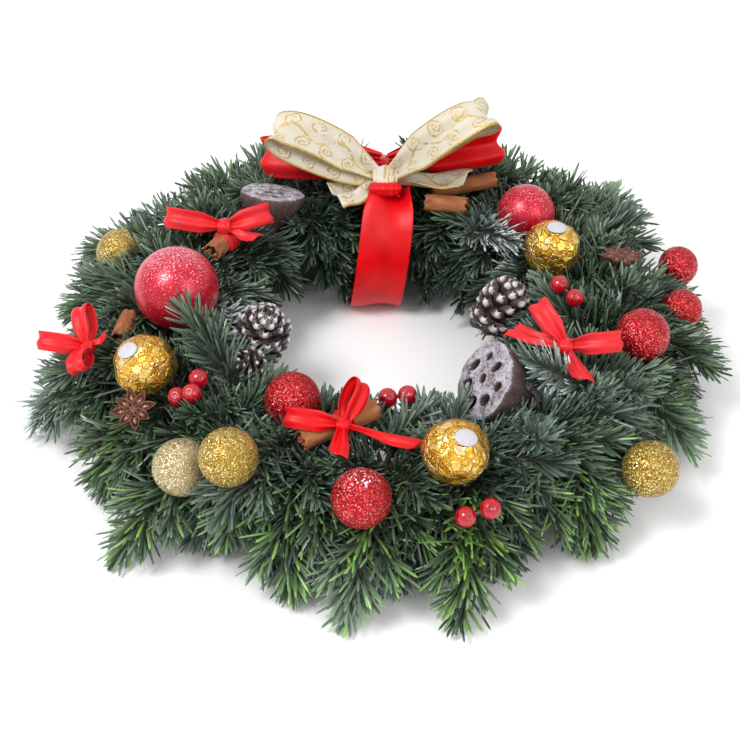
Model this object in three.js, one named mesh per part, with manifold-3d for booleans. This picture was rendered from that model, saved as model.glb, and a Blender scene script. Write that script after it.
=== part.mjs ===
// A fresh evergreen wreath, lying flat. Bunches of fir sprays are bound side by side round a straw
// ring, and the ring carries baubles, foil-wrapped sweets, cones, lotus pods, star anise, berries,
// cinnamon sticks with small bows, and a ribbon tied right round it at the back under a double bow.
//
// Millimetres, +Z up. Pieces are placed by bearing, reach and height: the bearing is in degrees
// round the ring, 0 to the right (+X), 90 at the back (+Y, where the big bow is) and 270 in front;
// the reach is the distance from the ring's middle; the height is above the surface it lies on.
// The finished group is moved so that its origin is the bottom centre of the box round it.

import * as THREE from "three";
import { mergeVertices } from "three/addons/utils/BufferGeometryUtils.js";
import Module from "manifold-3d";

const wasm = await Module();
wasm.setup();

// ---------------------------------------------------------------- driving dimensions

const WELD = 0.001; // corners nearer than this are one
const GAP = 0.35; // left between two pieces that touch
const SKIN = 0.5; // the least room between one bunch and another

// The straw ring is the common 250 mm one, 40 mm thick, with a little flat where it lies.
const RING = { reach: 104, thick: 20, middle: 17.9, bulge: 0.3, turns: 6, along: 30, around: 8 };

// A ribbon of satin, wrapped round ring and fir together at the back.
const BAND = { width: 27, thick: 0.6, top: 65, slant: 0.13, notch: 1, notchAngle: 0.25 };

// Fir needles are flat; here each is a spike as long and about as wide, drawn out of its twig.
const NEEDLE = { length: 17, thick: 1.4, lean: 54, pitch: 6.1, twist: 25, least: 5 };
const TWIG = { butt: 2.2, root: 1.5, tip: 1, bare: 9 };
const HOLE = 45.5; // reach of the open middle, which no needle enters
const STRAW_SIDE = (RING.thick + RING.bulge) * Math.cos(Math.PI / RING.around);
const BUTT = { reach: RING.reach, height: RING.middle + STRAW_SIDE + GAP + TWIG.butt, half: 6 };

const TINY_BALL = 10; // radius of the 20 mm baubles
const SMALL_BALL = 12.5; // and of the 25 mm ones
const MIDDLE_BALL = 15; // and of the 30 mm one
const LARGE_BALL = 20; // and of the 40 mm one
const SWEET = 14.4; // radius of a foil-wrapped sweet
const BERRY = 4.4;
const PICK = 0.8; // radius of the wire pick that holds an ornament to the straw

const COLOURS = {
  wrap: 0x2b3a26,
  fir: 0x2f4d33,
  red: 0xb5121f,
  gold: 0xb8902f,
  pale_gold: 0xc2ac76,
  foil: 0xd9a02a,
  paper: 0xf1efe9,
  cone: 0x4b3327,
  pod: 0x6a5a55,
  anise: 0x7a3b22,
  cinnamon: 0xa5592c,
  red_satin: 0xd00d17,
  cream: 0xe6dcc6,
};

// ---------------------------------------------------------------- where things are

// Each bunch has its bearing and the tip of its long outer spray: bearing, reach, height.
const BUNCHES = [
  { at: 10, tip: [9, 164, 24] },
  { at: 30, tip: [37, 187, 34] },
  { at: 50, tip: [55, 153, 44] },
  { at: 70, tip: [74, 147, 38] },
  { at: 90, tip: [90, 128, 36] },
  { at: 110, tip: [106, 150, 38] },
  { at: 130, tip: [127, 166, 40] },
  { at: 150, tip: [152, 190, 22] },
  { at: 170, tip: [163, 176, 14] },
  { at: 190, tip: [194, 182, 10] },
  { at: 210, tip: [208, 165, 9] },
  { at: 230, tip: [227, 180, 5] },
  { at: 250, tip: [255, 160, 5] },
  { at: 270, tip: [264, 170, 5] },
  { at: 290, tip: [281, 173, 4] },
  { at: 310, tip: [308, 160, 5] },
  { at: 330, tip: [336, 164, 9] },
  { at: 350, tip: [355, 170, 18] },
];

const BAUBLES = [
  { name: "bauble_red_large", at: [185, 98, 66], radius: LARGE_BALL, colour: "red" },
  { name: "bauble_red_back", at: [41, 99, 60], radius: MIDDLE_BALL, colour: "red" },
  { name: "bauble_red_inner", at: [243, 88, 57], radius: SMALL_BALL, colour: "red" },
  { name: "bauble_red_front", at: [266, 137, 55], radius: SMALL_BALL, colour: "red" },
  { name: "bauble_red_right", at: [343, 125, 60], radius: SMALL_BALL, colour: "red" },
  { name: "bauble_red_rim_back", at: [15, 157, 44], radius: TINY_BALL, colour: "red" },
  { name: "bauble_red_rim_right", at: [2, 147.5, 43], radius: TINY_BALL, colour: "red" },
  { name: "bauble_gold_front", at: [242, 137, 63], radius: SMALL_BALL, colour: "gold" },
  { name: "bauble_gold_right", at: [319, 154, 37], radius: SMALL_BALL, colour: "gold" },
  { name: "bauble_gold_back", at: [160, 143, 46], radius: SMALL_BALL, colour: "gold" },
  { name: "bauble_pale_front", at: [232, 140, 47], radius: SMALL_BALL, colour: "pale_gold" },
];

// facing is the way its round paper seal looks.
const SWEETS = [
  { name: "left", at: [209, 122, 61], facing: [-0.41, -0.33, 0.85] },
  { name: "front", at: [284, 121, 63], facing: [0.26, -0.38, 0.89] },
  { name: "back", at: [20, 90, 62], facing: [0.07, -0.2, 0.98] },
];

// axis points from the stalk end to the tip.
const CONES = [
  { name: "cone_left", at: [195, 60, 44], radius: 15, length: 31, axis: [0.25, -0.1, 1], rows: 5 },
  { name: "cone_right", at: [6, 59, 43], radius: 14.5, length: 31, axis: [0.55, 0.5, 0.75], rows: 5 },
  { name: "cone_low", at: [217, 79, 50], radius: 10, length: 20, axis: [-0.5, -0.6, 0.7], rows: 4 },
];

// facing is the way the flat, pitted face looks.
const PODS = [
  { name: "lotus_pod_left", at: [126, 97, 64], radius: 16.5, depth: 27, facing: [0.12, 0.3, 0.95] },
  { name: "lotus_pod_right", at: [303, 82, 60], radius: 18.5, depth: 28, facing: [-0.79, -0.2, 0.57] },
];

const ANISE = [
  { name: "star_anise_left", at: [217, 137, 55], radius: 10.5, facing: [-0.1, -0.45, 0.9] },
  { name: "star_anise_back", at: [13, 122, 59], radius: 11, facing: [0.05, 0.15, 1] },
];

// Each berry: bearing, reach, height. They share one wire stem.
const BERRIES = [
  { name: "berries_left", berries: [[221, 108, 63], [223.6, 115.5, 62], [220.5, 119, 58]] },
  { name: "berries_right", berries: [[0, 85, 62], [355, 92, 60]] },
  { name: "berries_front", berries: [[283, 146, 50], [287, 147, 53]] },
  { name: "berries_inner", berries: [[271.5, 70, 51], [279, 69, 51]] },
];

// A stick lies from one end to the other, each given as bearing, reach and height.
const STICKS = [
  { name: "cinnamon_left_back", from: [159.5, 91, 58], to: [140.5, 91, 58], radius: 4.8 },
  { name: "cinnamon_front", from: [251.4, 110.5, 57], to: [267.8, 86.7, 59], radius: 5 },
  { name: "cinnamon_left", from: [192.5, 127, 50], to: [185.5, 121, 52], radius: 4.5 },
  { name: "cinnamon_back_low", from: [73, 80, 59], to: [58, 84, 60], radius: 4.5 },
  { name: "cinnamon_back_high", from: [73, 92, 58.5], to: [57, 112, 62], radius: 4.5 },
];

// ---------------------------------------------------------------- small tools

const UP = new THREE.Vector3(0, 0, 1);
const radians = THREE.MathUtils.degToRad;

function seeded(seed) {
  let state = seed;
  return () => {
    state = (state + 0x6d2b79f5) | 0;
    let t = Math.imul(state ^ (state >>> 15), 1 | state);
    t = (t + Math.imul(t ^ (t >>> 7), 61 | t)) ^ t;
    return ((t ^ (t >>> 14)) >>> 0) / 4294967296;
  };
}

function polar([bearing, reach, height]) {
  const a = radians(bearing);
  return new THREE.Vector3(reach * Math.cos(a), reach * Math.sin(a), height);
}

// A closed solid from a geometry: vertices nearer than WELD are merged, and faces of no width dropped.
function solid(geometry) {
  const bare = new THREE.BufferGeometry();
  bare.setAttribute("position", geometry.getAttribute("position").clone());
  if (geometry.index) bare.setIndex(geometry.index.clone());
  const merged = mergeVertices(bare, WELD);
  const corners = merged.index.array;
  const kept = [];
  for (let i = 0; i < corners.length; i += 3) {
    const [a, b, c] = corners.subarray(i, i + 3);
    if (a !== b && b !== c && c !== a) kept.push(a, b, c);
  }
  return new wasm.Manifold(
    new wasm.Mesh({
      numProp: 3,
      vertProperties: merged.getAttribute("position").array,
      triVerts: new Uint32Array(kept),
    }),
  );
}

function geometryOf(body) {
  const mesh = body.getMesh();
  const positions = new Float32Array(mesh.numVert * 3);
  for (let i = 0; i < mesh.numVert; i++)
    positions.set(mesh.vertProperties.subarray(i * mesh.numProp, i * mesh.numProp + 3), i * 3);
  const geometry = new THREE.BufferGeometry();
  geometry.setAttribute("position", new THREE.BufferAttribute(positions, 3));
  geometry.setIndex(new THREE.BufferAttribute(mesh.triVerts.slice(), 1));
  geometry.computeVertexNormals();
  return geometry;
}

function joined(solids) {
  return solids.reduce((whole, next) => whole.add(next));
}

// The largest connected body, without loose scraps.
function largest(body) {
  return body.decompose().reduce((a, b) => (b.volume() > a.volume() ? b : a));
}

// A matrix that turns local Z to the way given and local X as near as can be to the other one.
function basis(z, x = new THREE.Vector3(1, 0, 0)) {
  const way = z.clone().normalize();
  const side = x.clone().addScaledVector(way, -x.dot(way));
  if (side.lengthSq() < 1e-6) side.set(0, 1, 0).addScaledVector(way, -way.y);
  side.normalize();
  return new THREE.Matrix4().makeBasis(side, way.clone().cross(side), way);
}

function placed(geometry, place, z = UP, x = new THREE.Vector3(1, 0, 0)) {
  return geometry.applyMatrix4(basis(z, x)).translate(place.x, place.y, place.z);
}

// A closed tube with flat ends through the points, each with its own radius.
function tube(points, radii, sides) {
  const positions = [];
  const index = [];
  const side = new THREE.Vector3(0.31, 0.17, 0.94);
  points.forEach((point, i) => {
    const way = points[Math.min(i + 1, points.length - 1)].clone().sub(points[Math.max(i - 1, 0)]);
    way.normalize();
    side.addScaledVector(way, -side.dot(way)).normalize();
    const across = way.clone().cross(side);
    for (let s = 0; s < sides; s++) {
      const a = (2 * Math.PI * s) / sides;
      const p = point.clone();
      p.addScaledVector(side, radii[i] * Math.cos(a)).addScaledVector(across, radii[i] * Math.sin(a));
      positions.push(p.x, p.y, p.z);
    }
  });
  const last = (points.length - 1) * sides;
  for (let i = 0; i < last; i += sides)
    for (let s = 0; s < sides; s++) {
      const [a, b] = [i + s, i + ((s + 1) % sides)];
      index.push(a, b, b + sides, a, b + sides, a + sides);
    }
  for (let s = 1; s < sides - 1; s++) {
    index.push(0, s + 1, s);
    index.push(last, last + s, last + s + 1);
  }
  const geometry = new THREE.BufferGeometry();
  geometry.setAttribute("position", new THREE.Float32BufferAttribute(positions, 3));
  geometry.setIndex(index);
  return geometry;
}

// ---------------------------------------------------------------- the straw ring

// Straw bulges a little between the slanting turns of the wire that binds it. The ring is eight-sided
// with one side down, and that side is a little higher where the ribbon passes below the straw.
function strawRing(extra = 0) {
  const positions = [];
  const index = [];
  for (let i = 0; i < RING.along; i++)
    for (let j = 0; j < RING.around; j++) {
      const turn = (2 * Math.PI * i) / RING.along;
      const around = (2 * Math.PI * (j + 0.5)) / RING.around - Math.PI / 2;
      const thick = RING.thick + RING.bulge * Math.cos(RING.turns * turn - around) + extra;
      const reach = RING.reach + thick * Math.cos(around);
      const floor = Math.abs(turn - Math.PI / 2) < BAND.notchAngle ? BAND.notch : 0;
      const height = Math.max(floor - extra, RING.middle + thick * Math.sin(around));
      positions.push(reach * Math.cos(turn), reach * Math.sin(turn), height);
      const [next, right] = [((i + 1) % RING.along) * RING.around, (j + 1) % RING.around];
      const here = i * RING.around;
      index.push(here + j, next + j, next + right, here + j, next + right, here + right);
    }
  const geometry = new THREE.BufferGeometry();
  geometry.setAttribute("position", new THREE.Float32BufferAttribute(positions, 3));
  geometry.setIndex(index);
  return solid(geometry);
}

// How far a point is from the straw's sides, as if the ring were smooth the long way round.
function strawDistance(point) {
  const [out, up] = [Math.hypot(point.x, point.y) - RING.reach, point.z - RING.middle];
  const side = (2 * Math.PI) / RING.around;
  const turn = Math.atan2(up, out) + Math.PI / 2 + 2 * Math.PI;
  const fromMiddle = turn - side * Math.round(turn / side);
  return Math.hypot(out, up) * Math.cos(fromMiddle) - STRAW_SIDE;
}

// The nearest point of the straw ring's middle line.
function strawMiddle(place) {
  const bearing = Math.atan2(place.y, place.x);
  return new THREE.Vector3(Math.cos(bearing), Math.sin(bearing), 0)
    .multiplyScalar(RING.reach)
    .setZ(RING.middle);
}

// The wire pick that is pushed towards the straw from inside an ornament.
function pick(place) {
  return solid(tube([place, strawMiddle(place).lerp(place, 0.2)], [PICK, PICK], 3));
}

// ---------------------------------------------------------------- ornaments

function bauble({ at, radius }) {
  const place = polar(at);
  const detail = radius > SMALL_BALL ? [13, 8] : [9, 6];
  const ball = placed(new THREE.SphereGeometry(radius, ...detail), place, UP);
  return solid(ball).add(pick(place));
}

// A ball of crumpled foil: each vertex stands in or out a little by a fixed rule.
function sweet({ at, facing }) {
  const place = polar(at);
  const geometry = new THREE.SphereGeometry(SWEET, 10, 6);
  const position = geometry.getAttribute("position");
  const p = new THREE.Vector3();
  for (let i = 0; i < position.count; i++) {
    p.fromBufferAttribute(position, i);
    const crumple = 0.45 * Math.sin(0.9 * p.x + 1.3 * p.z) * Math.cos(1.1 * p.y - 0.7 * p.z);
    const away = 1 - p.y / SWEET; // smooth near the seal, which is on local +Y
    p.multiplyScalar(1 + (Math.min(1, away) * crumple) / SWEET);
    position.setXYZ(i, p.x, p.y, p.z);
  }
  geometry.rotateX(Math.PI / 2);
  return solid(placed(geometry, place, new THREE.Vector3(...facing))).add(pick(place));
}

function seal({ at, facing }) {
  const way = new THREE.Vector3(...facing).normalize();
  const thick = 0.5;
  const place = polar(at).addScaledVector(way, SWEET + GAP + thick / 2);
  const disc = new THREE.CylinderGeometry(4.4, 4.4, thick, 10).rotateX(Math.PI / 2).scale(1.15, 0.9, 1);
  return solid(placed(disc, place, way));
}

// A pine cone: an egg-shaped core with woody scales round it on a spiral.
function cone({ at, radius, length, axis, rows }) {
  const place = polar(at);
  const scalesInRow = 4;
  const count = rows * scalesInRow;
  const golden = radians(137.5);
  const core = new THREE.SphereGeometry(radius * 0.5, 7, 5).rotateX(Math.PI / 2);
  core.scale(1, 1, length / (1.15 * radius));
  const parts = [solid(core)];
  for (let i = 0; i < count; i++) {
    const rise = (i + 0.5) / count; // 0 at the stalk, 1 at the tip
    const out = radius * Math.sin(Math.PI * (0.18 + 0.72 * rise)) ** 0.7;
    const height = length * (rise - 0.5) * 0.92;
    const around = new THREE.Vector3(Math.cos(i * golden), Math.sin(i * golden), 0);
    const root = around.clone().multiplyScalar(0.5).setZ(height * 0.7 - 2);
    const end = around.clone().multiplyScalar(out).setZ(height + 2.5 - 3 * (1 - rise));
    parts.push(solid(scale(root, end, radius * 0.5, 2)));
  }
  const turned = geometryOf(joined(parts));
  return largest(solid(placed(turned, place, new THREE.Vector3(...axis))).add(pick(place)));
}

// One woody scale: it widens from its root and ends in a blunt, keeled edge.
function scale(root, end, width, thick) {
  const way = end.clone().sub(root).normalize();
  const across = way.clone().cross(UP).normalize().multiplyScalar(width / 2);
  const lift = across.clone().cross(way).normalize().multiplyScalar(thick);
  const corners = [root, end.clone().add(across), end.clone().sub(across), end.clone().add(lift)];
  const geometry = new THREE.BufferGeometry().setFromPoints(corners);
  geometry.setIndex([0, 1, 2, 0, 2, 3, 0, 3, 1, 1, 3, 2]);
  return outward(geometry);
}

// Turns a small closed shape's faces outwards if they look in.
function outward(geometry) {
  const index = geometry.index.array;
  const position = geometry.getAttribute("position");
  const [a, b, c] = [0, 1, 2].map(() => new THREE.Vector3());
  let volume = 0;
  for (let i = 0; i < index.length; i += 3) {
    a.fromBufferAttribute(position, index[i]);
    b.fromBufferAttribute(position, index[i + 1]);
    c.fromBufferAttribute(position, index[i + 2]);
    volume += a.dot(b.cross(c));
  }
  if (volume < 0)
    for (let i = 0; i < index.length; i += 3) [index[i], index[i + 1]] = [index[i + 1], index[i]];
  return geometry;
}

// A dried lotus pod: a funnel with a flat face that has a pit for each seed.
function lotusPod({ at, radius, depth, facing }) {
  const pits = 5;
  const pitDepth = 5;
  const profile = [
    [0, -depth], [2.2, -depth], [4.5, -0.72 * depth], [0.72 * radius, -0.36 * depth],
    [radius, -2.5], [radius * 0.97, 0.4], [0, 1.4],
  ].map(([r, z]) => new THREE.Vector2(r, z));
  const body = new THREE.LatheGeometry(profile, 10).rotateX(Math.PI / 2);
  let pod = solid(outward(mergeVertices(bareOf(body), WELD)));
  const pit = (x, y, r) =>
    solid(new THREE.CylinderGeometry(r, r * 0.8, 2 * pitDepth, 5).rotateX(Math.PI / 2).translate(x, y, 0));
  const holes = [pit(0, 0, radius * 0.13)];
  for (let i = 0; i < pits; i++) {
    const a = (2 * Math.PI * i) / pits;
    holes.push(pit(0.6 * radius * Math.cos(a), 0.6 * radius * Math.sin(a), radius * 0.15));
  }
  pod = pod.subtract(joined(holes));
  const place = polar(at);
  const way = new THREE.Vector3(...facing).normalize();
  const stalk = place.clone().addScaledVector(way, 3 - depth);
  return solid(placed(geometryOf(pod), place, way)).add(pick(stalk));
}

function bareOf(geometry) {
  const bare = new THREE.BufferGeometry();
  bare.setAttribute("position", geometry.getAttribute("position").clone());
  bare.setIndex(geometry.index.clone());
  return bare;
}

// Star anise: eight boat-shaped pods round one middle.
function starAnise({ at, radius, facing }) {
  const boats = 8;
  const parts = [solid(new THREE.CylinderGeometry(2, 2.4, 3, 8).rotateX(Math.PI / 2))];
  for (let i = 0; i < boats; i++) {
    const length = radius * (i % 2 ? 0.88 : 1);
    const [wide, out] = [radius * 0.2, length * 0.55];
    const points = [[0.3, 0, 0.4], [length, 0, 1.2], [out, wide, 1.4], [out, -wide, 1.4], [out, 0, -2.2]];
    const boat = new THREE.BufferGeometry().setFromPoints(points.map((p) => new THREE.Vector3(...p)));
    boat.setIndex([0, 3, 2, 1, 2, 3, 0, 2, 4, 2, 1, 4, 0, 4, 3, 3, 4, 1]);
    parts.push(solid(outward(boat).rotateZ((2 * Math.PI * i) / boats + 0.2)));
  }
  const place = polar(at);
  const star = placed(geometryOf(joined(parts)), place, new THREE.Vector3(...facing));
  return solid(star).add(pick(place));
}

// Berries threaded on one wire, held by a pick from the first.
function berryCluster({ berries }) {
  const places = berries.map(polar);
  const balls = places.map((place) => solid(placed(new THREE.OctahedronGeometry(BERRY, 1), place)));
  const wire = solid(tube(places, places.map(() => PICK), 3));
  return joined([...balls, wire, pick(places[0])]);
}

// A cinnamon stick: bark rolled in from both edges, as an open scroll.
function cinnamonStick({ from, to, radius }) {
  const [start, end] = [polar(from), polar(to)];
  const way = end.clone().sub(start);
  const bark = 1.5;
  const steps = 7;
  const outer = [];
  const inner = [];
  for (let i = 0; i <= steps; i++) {
    const share = i / steps;
    const a = radians(105 + 330 * share);
    const r = radius - 0.9 * Math.abs(share - 0.5) ** 2;
    outer.push(new THREE.Vector2(r * Math.cos(a), r * Math.sin(a)));
    inner.unshift(new THREE.Vector2((r - bark) * Math.cos(a), (r - bark) * Math.sin(a)));
  }
  const scroll = new THREE.Shape([...outer, ...inner]);
  const stick = new THREE.ExtrudeGeometry(scroll, { depth: way.length(), bevelEnabled: false });
  const middle = start.clone().lerp(end, 0.5);
  const side = middle.clone().sub(strawMiddle(middle)).normalize();
  const foot = middle.addScaledVector(side, 0.6 - radius);
  return solid(placed(stick, start, way, side)).add(pick(foot));
}

// ---------------------------------------------------------------- ribbons

// A loop of ribbon: a drop-shaped band in local X and Y, out along X from its root at the origin.
// The ribbon's width is along Z, and is gathered towards the root.
function ribbonLoop({ length, height, width, thick, steps = 10 }) {
  const drop = (l, h, from) => {
    const points = [];
    for (let i = 0; i < steps; i++) {
      const a = (2 * Math.PI * i) / steps;
      points.push(new THREE.Vector2(from + (l * (1 - Math.cos(a))) / 2, h * Math.sin(a) * Math.sin(a / 2)));
    }
    return points;
  };
  const half = height / 1.5;
  const shape = new THREE.Shape(drop(length, half, 0));
  shape.holes.push(new THREE.Path(drop(length - 4.5 * thick, half - 1.6 * thick, 3.5 * thick).reverse()));
  const loop = new THREE.ExtrudeGeometry(shape, { depth: width, bevelEnabled: false });
  loop.translate(0, 0, -width / 2);
  const position = loop.getAttribute("position");
  for (let i = 0; i < position.count; i++) {
    const open = Math.min(1, position.getX(i) / (0.4 * length));
    position.setZ(i, position.getZ(i) * (0.32 + 0.68 * Math.max(0, open)));
  }
  return loop;
}

// A loose end of ribbon, cut aslant, from the origin out along X with its face up.
function ribbonTail({ length, width, thick, tip = 0.45 }) {
  const shape = new THREE.Shape();
  shape.moveTo(0, -width * 0.2);
  shape.lineTo(length * 0.8, -width / 2);
  shape.lineTo(length, width * tip);
  shape.lineTo(length * 0.25, width * 0.35);
  shape.lineTo(0, width * 0.2);
  return new THREE.ExtrudeGeometry(shape, { depth: thick, bevelEnabled: false });
}

// Turns local X to one way and local Z as near as can be to another, then moves it.
function aimed(geometry, place, x, z) {
  const along = new THREE.Vector3(...x).normalize();
  const over = new THREE.Vector3(...z);
  over.addScaledVector(along, -over.dot(along)).normalize();
  const turn = new THREE.Matrix4().makeBasis(along, over.clone().cross(along), over);
  return geometry.applyMatrix4(turn).translate(place.x, place.y, place.z);
}

// The big ribbon goes right round the ring and its fir, and is flat where it lies on the surface.
function bandSection(shrink) {
  const [middleY, middleZ] = [98, BAND.top / 2];
  const outline = new THREE.Shape();
  outline.moveTo(74, 0);
  outline.lineTo(126, 0);
  outline.bezierCurveTo(140, 0, 147, 12, 147, 26);
  outline.bezierCurveTo(147, 48, 126, BAND.top, 102, BAND.top);
  outline.lineTo(80, BAND.top);
  outline.bezierCurveTo(64, BAND.top, 50, 46, 50, 24);
  outline.bezierCurveTo(50, 10, 60, 0, 74, 0);
  const [wide, high] = [(48.5 - shrink) / 48.5, (middleZ - shrink) / middleZ];
  return outline
    .getPoints(4)
    .slice(0, -1)
    .map((p) => new THREE.Vector2(middleY + (p.x - middleY) * wide, middleZ + (p.y - middleZ) * high));
}

function ribbonBand() {
  const shape = new THREE.Shape(bandSection(0));
  shape.holes.push(new THREE.Path(bandSection(BAND.thick).reverse()));
  const band = new THREE.ExtrudeGeometry(shape, { depth: BAND.width, bevelEnabled: false });
  // The section was drawn in reach and height; its depth becomes the ribbon's width along X.
  const turn = new THREE.Matrix4().makeBasis(
    new THREE.Vector3(0, 1, 0),
    new THREE.Vector3(0, 0, 1),
    new THREE.Vector3(1, 0, 0),
  );
  band.applyMatrix4(turn).translate(-BAND.width / 2, 0, 0);
  const position = band.getAttribute("position");
  for (let i = 0; i < position.count; i++) {
    const slant = BAND.slant * (position.getZ(i) - BAND.top / 2);
    position.setX(i, position.getX(i) + slant);
  }
  return solid(band);
}

// The red bow lies on the band as a flat strap, with its knot in front and its loops behind. The
// cream bow lies on that strap behind the knot, and its loops rise in front of the red ones.
const STRAP = { wide: 14, thick: 0.9, low: BAND.top + GAP, front: 73, back: 111 };
const KNOT = { x: 2, y: 75, wide: 8, deep: 4.6, high: 4.2 };
const CREAM = { wide: 12, thick: 0.9, low: STRAP.low + STRAP.thick + GAP, front: 81.5, back: 95 };

function strap({ wide, thick, low, front, back }) {
  const box = new THREE.BoxGeometry(wide, back - front, thick);
  return solid(box.translate(KNOT.x, (front + back) / 2, low + thick / 2));
}

// The folds that press on what is under them are cut flat, a little above the strap's lower face.
function flattened(body, low) {
  const size = 90;
  const below = new THREE.BoxGeometry(size, size, size);
  return body.subtract(solid(below.translate(KNOT.x, (STRAP.front + STRAP.back) / 2, low - size / 2)));
}

function bigRedBow() {
  const loop = (length, width) => ribbonLoop({ length, height: 11, width, thick: 0.9 });
  const knot = new THREE.SphereGeometry(1, 8, 6).scale(KNOT.wide, KNOT.deep, KNOT.high);
  const root = [103, STRAP.low + 3.5];
  const folds = joined([
    solid(knot.translate(KNOT.x, KNOT.y, STRAP.low + KNOT.high - 0.6)),
    solid(aimed(loop(63, 21), new THREE.Vector3(KNOT.x - 2, ...root), [-1, 0, 0.03], [0, 0.3, 0.95])),
    solid(aimed(loop(60, 20), new THREE.Vector3(KNOT.x + 2, ...root), [0.985, 0, 0.17], [-0.1, 0.3, 0.95])),
  ]);
  return largest(joined([strap(STRAP), flattened(folds, STRAP.low + 0.25)]));
}

function bigCreamBow() {
  const loop = (length, width) => ribbonLoop({ length, height: 19, width, thick: 0.9 });
  const tail = (length, width) => ribbonTail({ length, width, thick: 0.9 });
  const root = [85.5, CREAM.low + CREAM.thick / 2];
  const end = (x, y, lift) => new THREE.Vector3(KNOT.x + x, y, CREAM.low + lift);
  const loops = joined([
    solid(aimed(loop(65, 18), new THREE.Vector3(KNOT.x - 1, ...root), [-0.9, 0, 0.435], [0, -1, 0])),
    solid(aimed(loop(63, 17), new THREE.Vector3(KNOT.x + 1, ...root), [0.79, 0, 0.61], [0, -1, 0])),
  ]);
  const whole = joined([
    strap(CREAM),
    flattened(loops, CREAM.low + 0.25),
    solid(aimed(tail(28, 16), end(-5.5, 84.5, 0.1), [-0.8, -0.6, 0], [0, 0, 1])),
    solid(aimed(tail(45, 16), end(1, 86, 0.35), [1, -0.06, 0], [0, 0, 1])),
  ]);
  return largest(whole);
}

// A small bow: two loops, two tails and a knot, over the cinnamon stick that it is tied to.
function smallBow({ at, wide, span, loops, tails, stick }) {
  const place = polar(at);
  const thick = 0.8;
  const knot = new THREE.BoxGeometry(wide * 0.75, wide * 0.8, wide * 0.6);
  const parts = [solid(placed(knot, place))];
  for (const [x, z, share] of loops) {
    const loop = ribbonLoop({ length: span * share, height: wide * 0.85, width: wide, thick, steps: 8 });
    parts.push(solid(aimed(loop, place, x, z)));
  }
  for (const [x, z, length] of tails)
    parts.push(solid(aimed(ribbonTail({ length, width: wide, thick }), place, x, z)));
  if (!stick) return largest(joined([...parts, pick(place)]));
  const tied = joined([...parts, saddle(stick, wide * 0.7, thick)]);
  return largest(tied.subtract(stickRoom(stick)));
}

// The room that a cinnamon stick and a small gap take up.
function stickRoom({ from, to, radius }) {
  const [start, end] = [polar(from), polar(to)];
  const sides = 10;
  const reach = (radius + GAP) / Math.cos(Math.PI / sides);
  return solid(tube([start.clone().lerp(end, -0.2), start.clone().lerp(end, 1.2)], [reach, reach], sides));
}

// The turn of ribbon over the upper side of a cinnamon stick.
function saddle({ from, to, radius, share = 0.5 }, wide, thick) {
  const [start, end] = [polar(from), polar(to)];
  const middle = start.clone().lerp(end, share);
  const up = middle.clone().sub(strawMiddle(middle)).normalize();
  const arc = (r, sign) => {
    const points = [];
    for (let i = -2; i <= 2; i++) {
      const a = sign * i * radians(50);
      points.push(new THREE.Vector2(r * Math.cos(a), r * Math.sin(a)));
    }
    return points;
  };
  const outer = arc(radius + GAP + thick, 1);
  const inner = arc(radius + GAP, -1);
  const strip = new THREE.ExtrudeGeometry(new THREE.Shape([...outer, ...inner]), {
    depth: wide,
    bevelEnabled: false,
  }).translate(0, 0, -wide / 2);
  return solid(placed(strip, middle, end.clone().sub(start), up));
}

// ---------------------------------------------------------------- what fir grows round

// Ornaments, as triangles, and the twigs and needles so far, as rods, each in a ball for quick tests.
const things = [];
const foot = new THREE.Vector3();

function addOrnamentFaces(body) {
  const { vertProperties, numProp, triVerts } = body.getMesh();
  const corner = (i) => new THREE.Vector3(...vertProperties.subarray(i * numProp, i * numProp + 3));
  for (let i = 0; i < triVerts.length; i += 3) {
    const face = new THREE.Triangle(...[0, 1, 2].map((k) => corner(triVerts[i + k])));
    const ball = new THREE.Sphere().setFromPoints([face.a, face.b, face.c]);
    const distance = (point) => face.closestPointToPoint(point, foot).distanceTo(point) - GAP;
    things.push({ ball, distance, bunch: null });
  }
}

function addRod(start, end, from, to, bunch) {
  const line = new THREE.Line3(start, end);
  const ball = new THREE.Sphere(line.getCenter(new THREE.Vector3()), line.distance() / 2 + from);
  const distance = (point) => {
    const share = line.closestPointToPointParameter(point, true);
    return line.at(share, foot).distanceTo(point) - (from + (to - from) * share);
  };
  things.push({ ball, distance, bunch });
}

// The wreath's own limits: above the surface, clear of the straw, and out of its open middle.
function outOfBounds(point, room) {
  const inHole = Math.hypot(point.x, point.y) < HOLE;
  return inHole || point.z < room + GAP || strawDistance(point) < room + GAP;
}

// The share of the way from start to end that a tapering rod can grow before it meets anything.
// It isn't tested before it has left what it grows from, nor against its own bunch for a while.
function roomAlong(start, end, thick, bunch, { free, own }) {
  const length = start.distanceTo(end);
  const ball = new THREE.Sphere(start.clone().lerp(end, 0.5), length / 2 + thick[0] + GAP);
  const near = things.filter((thing) => thing.ball.intersectsSphere(ball));
  const steps = Math.ceil(length / 0.5);
  const point = new THREE.Vector3();
  for (let i = 0; i <= steps; i++) {
    const share = i / steps;
    if (share * length < free) continue;
    const room = thick[0] + (thick[1] - thick[0]) * share;
    point.lerpVectors(start, end, share);
    const met = near.some((thing) => {
      if (thing.bunch === bunch) return share * length > own && thing.distance(point) < room;
      return thing.distance(point) < room + (thing.bunch === null ? 0 : SKIN);
    });
    if (met || outOfBounds(point, room)) return Math.max(0, i - 1) / steps;
  }
  return 1;
}

// ---------------------------------------------------------------- fir bunches

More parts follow.
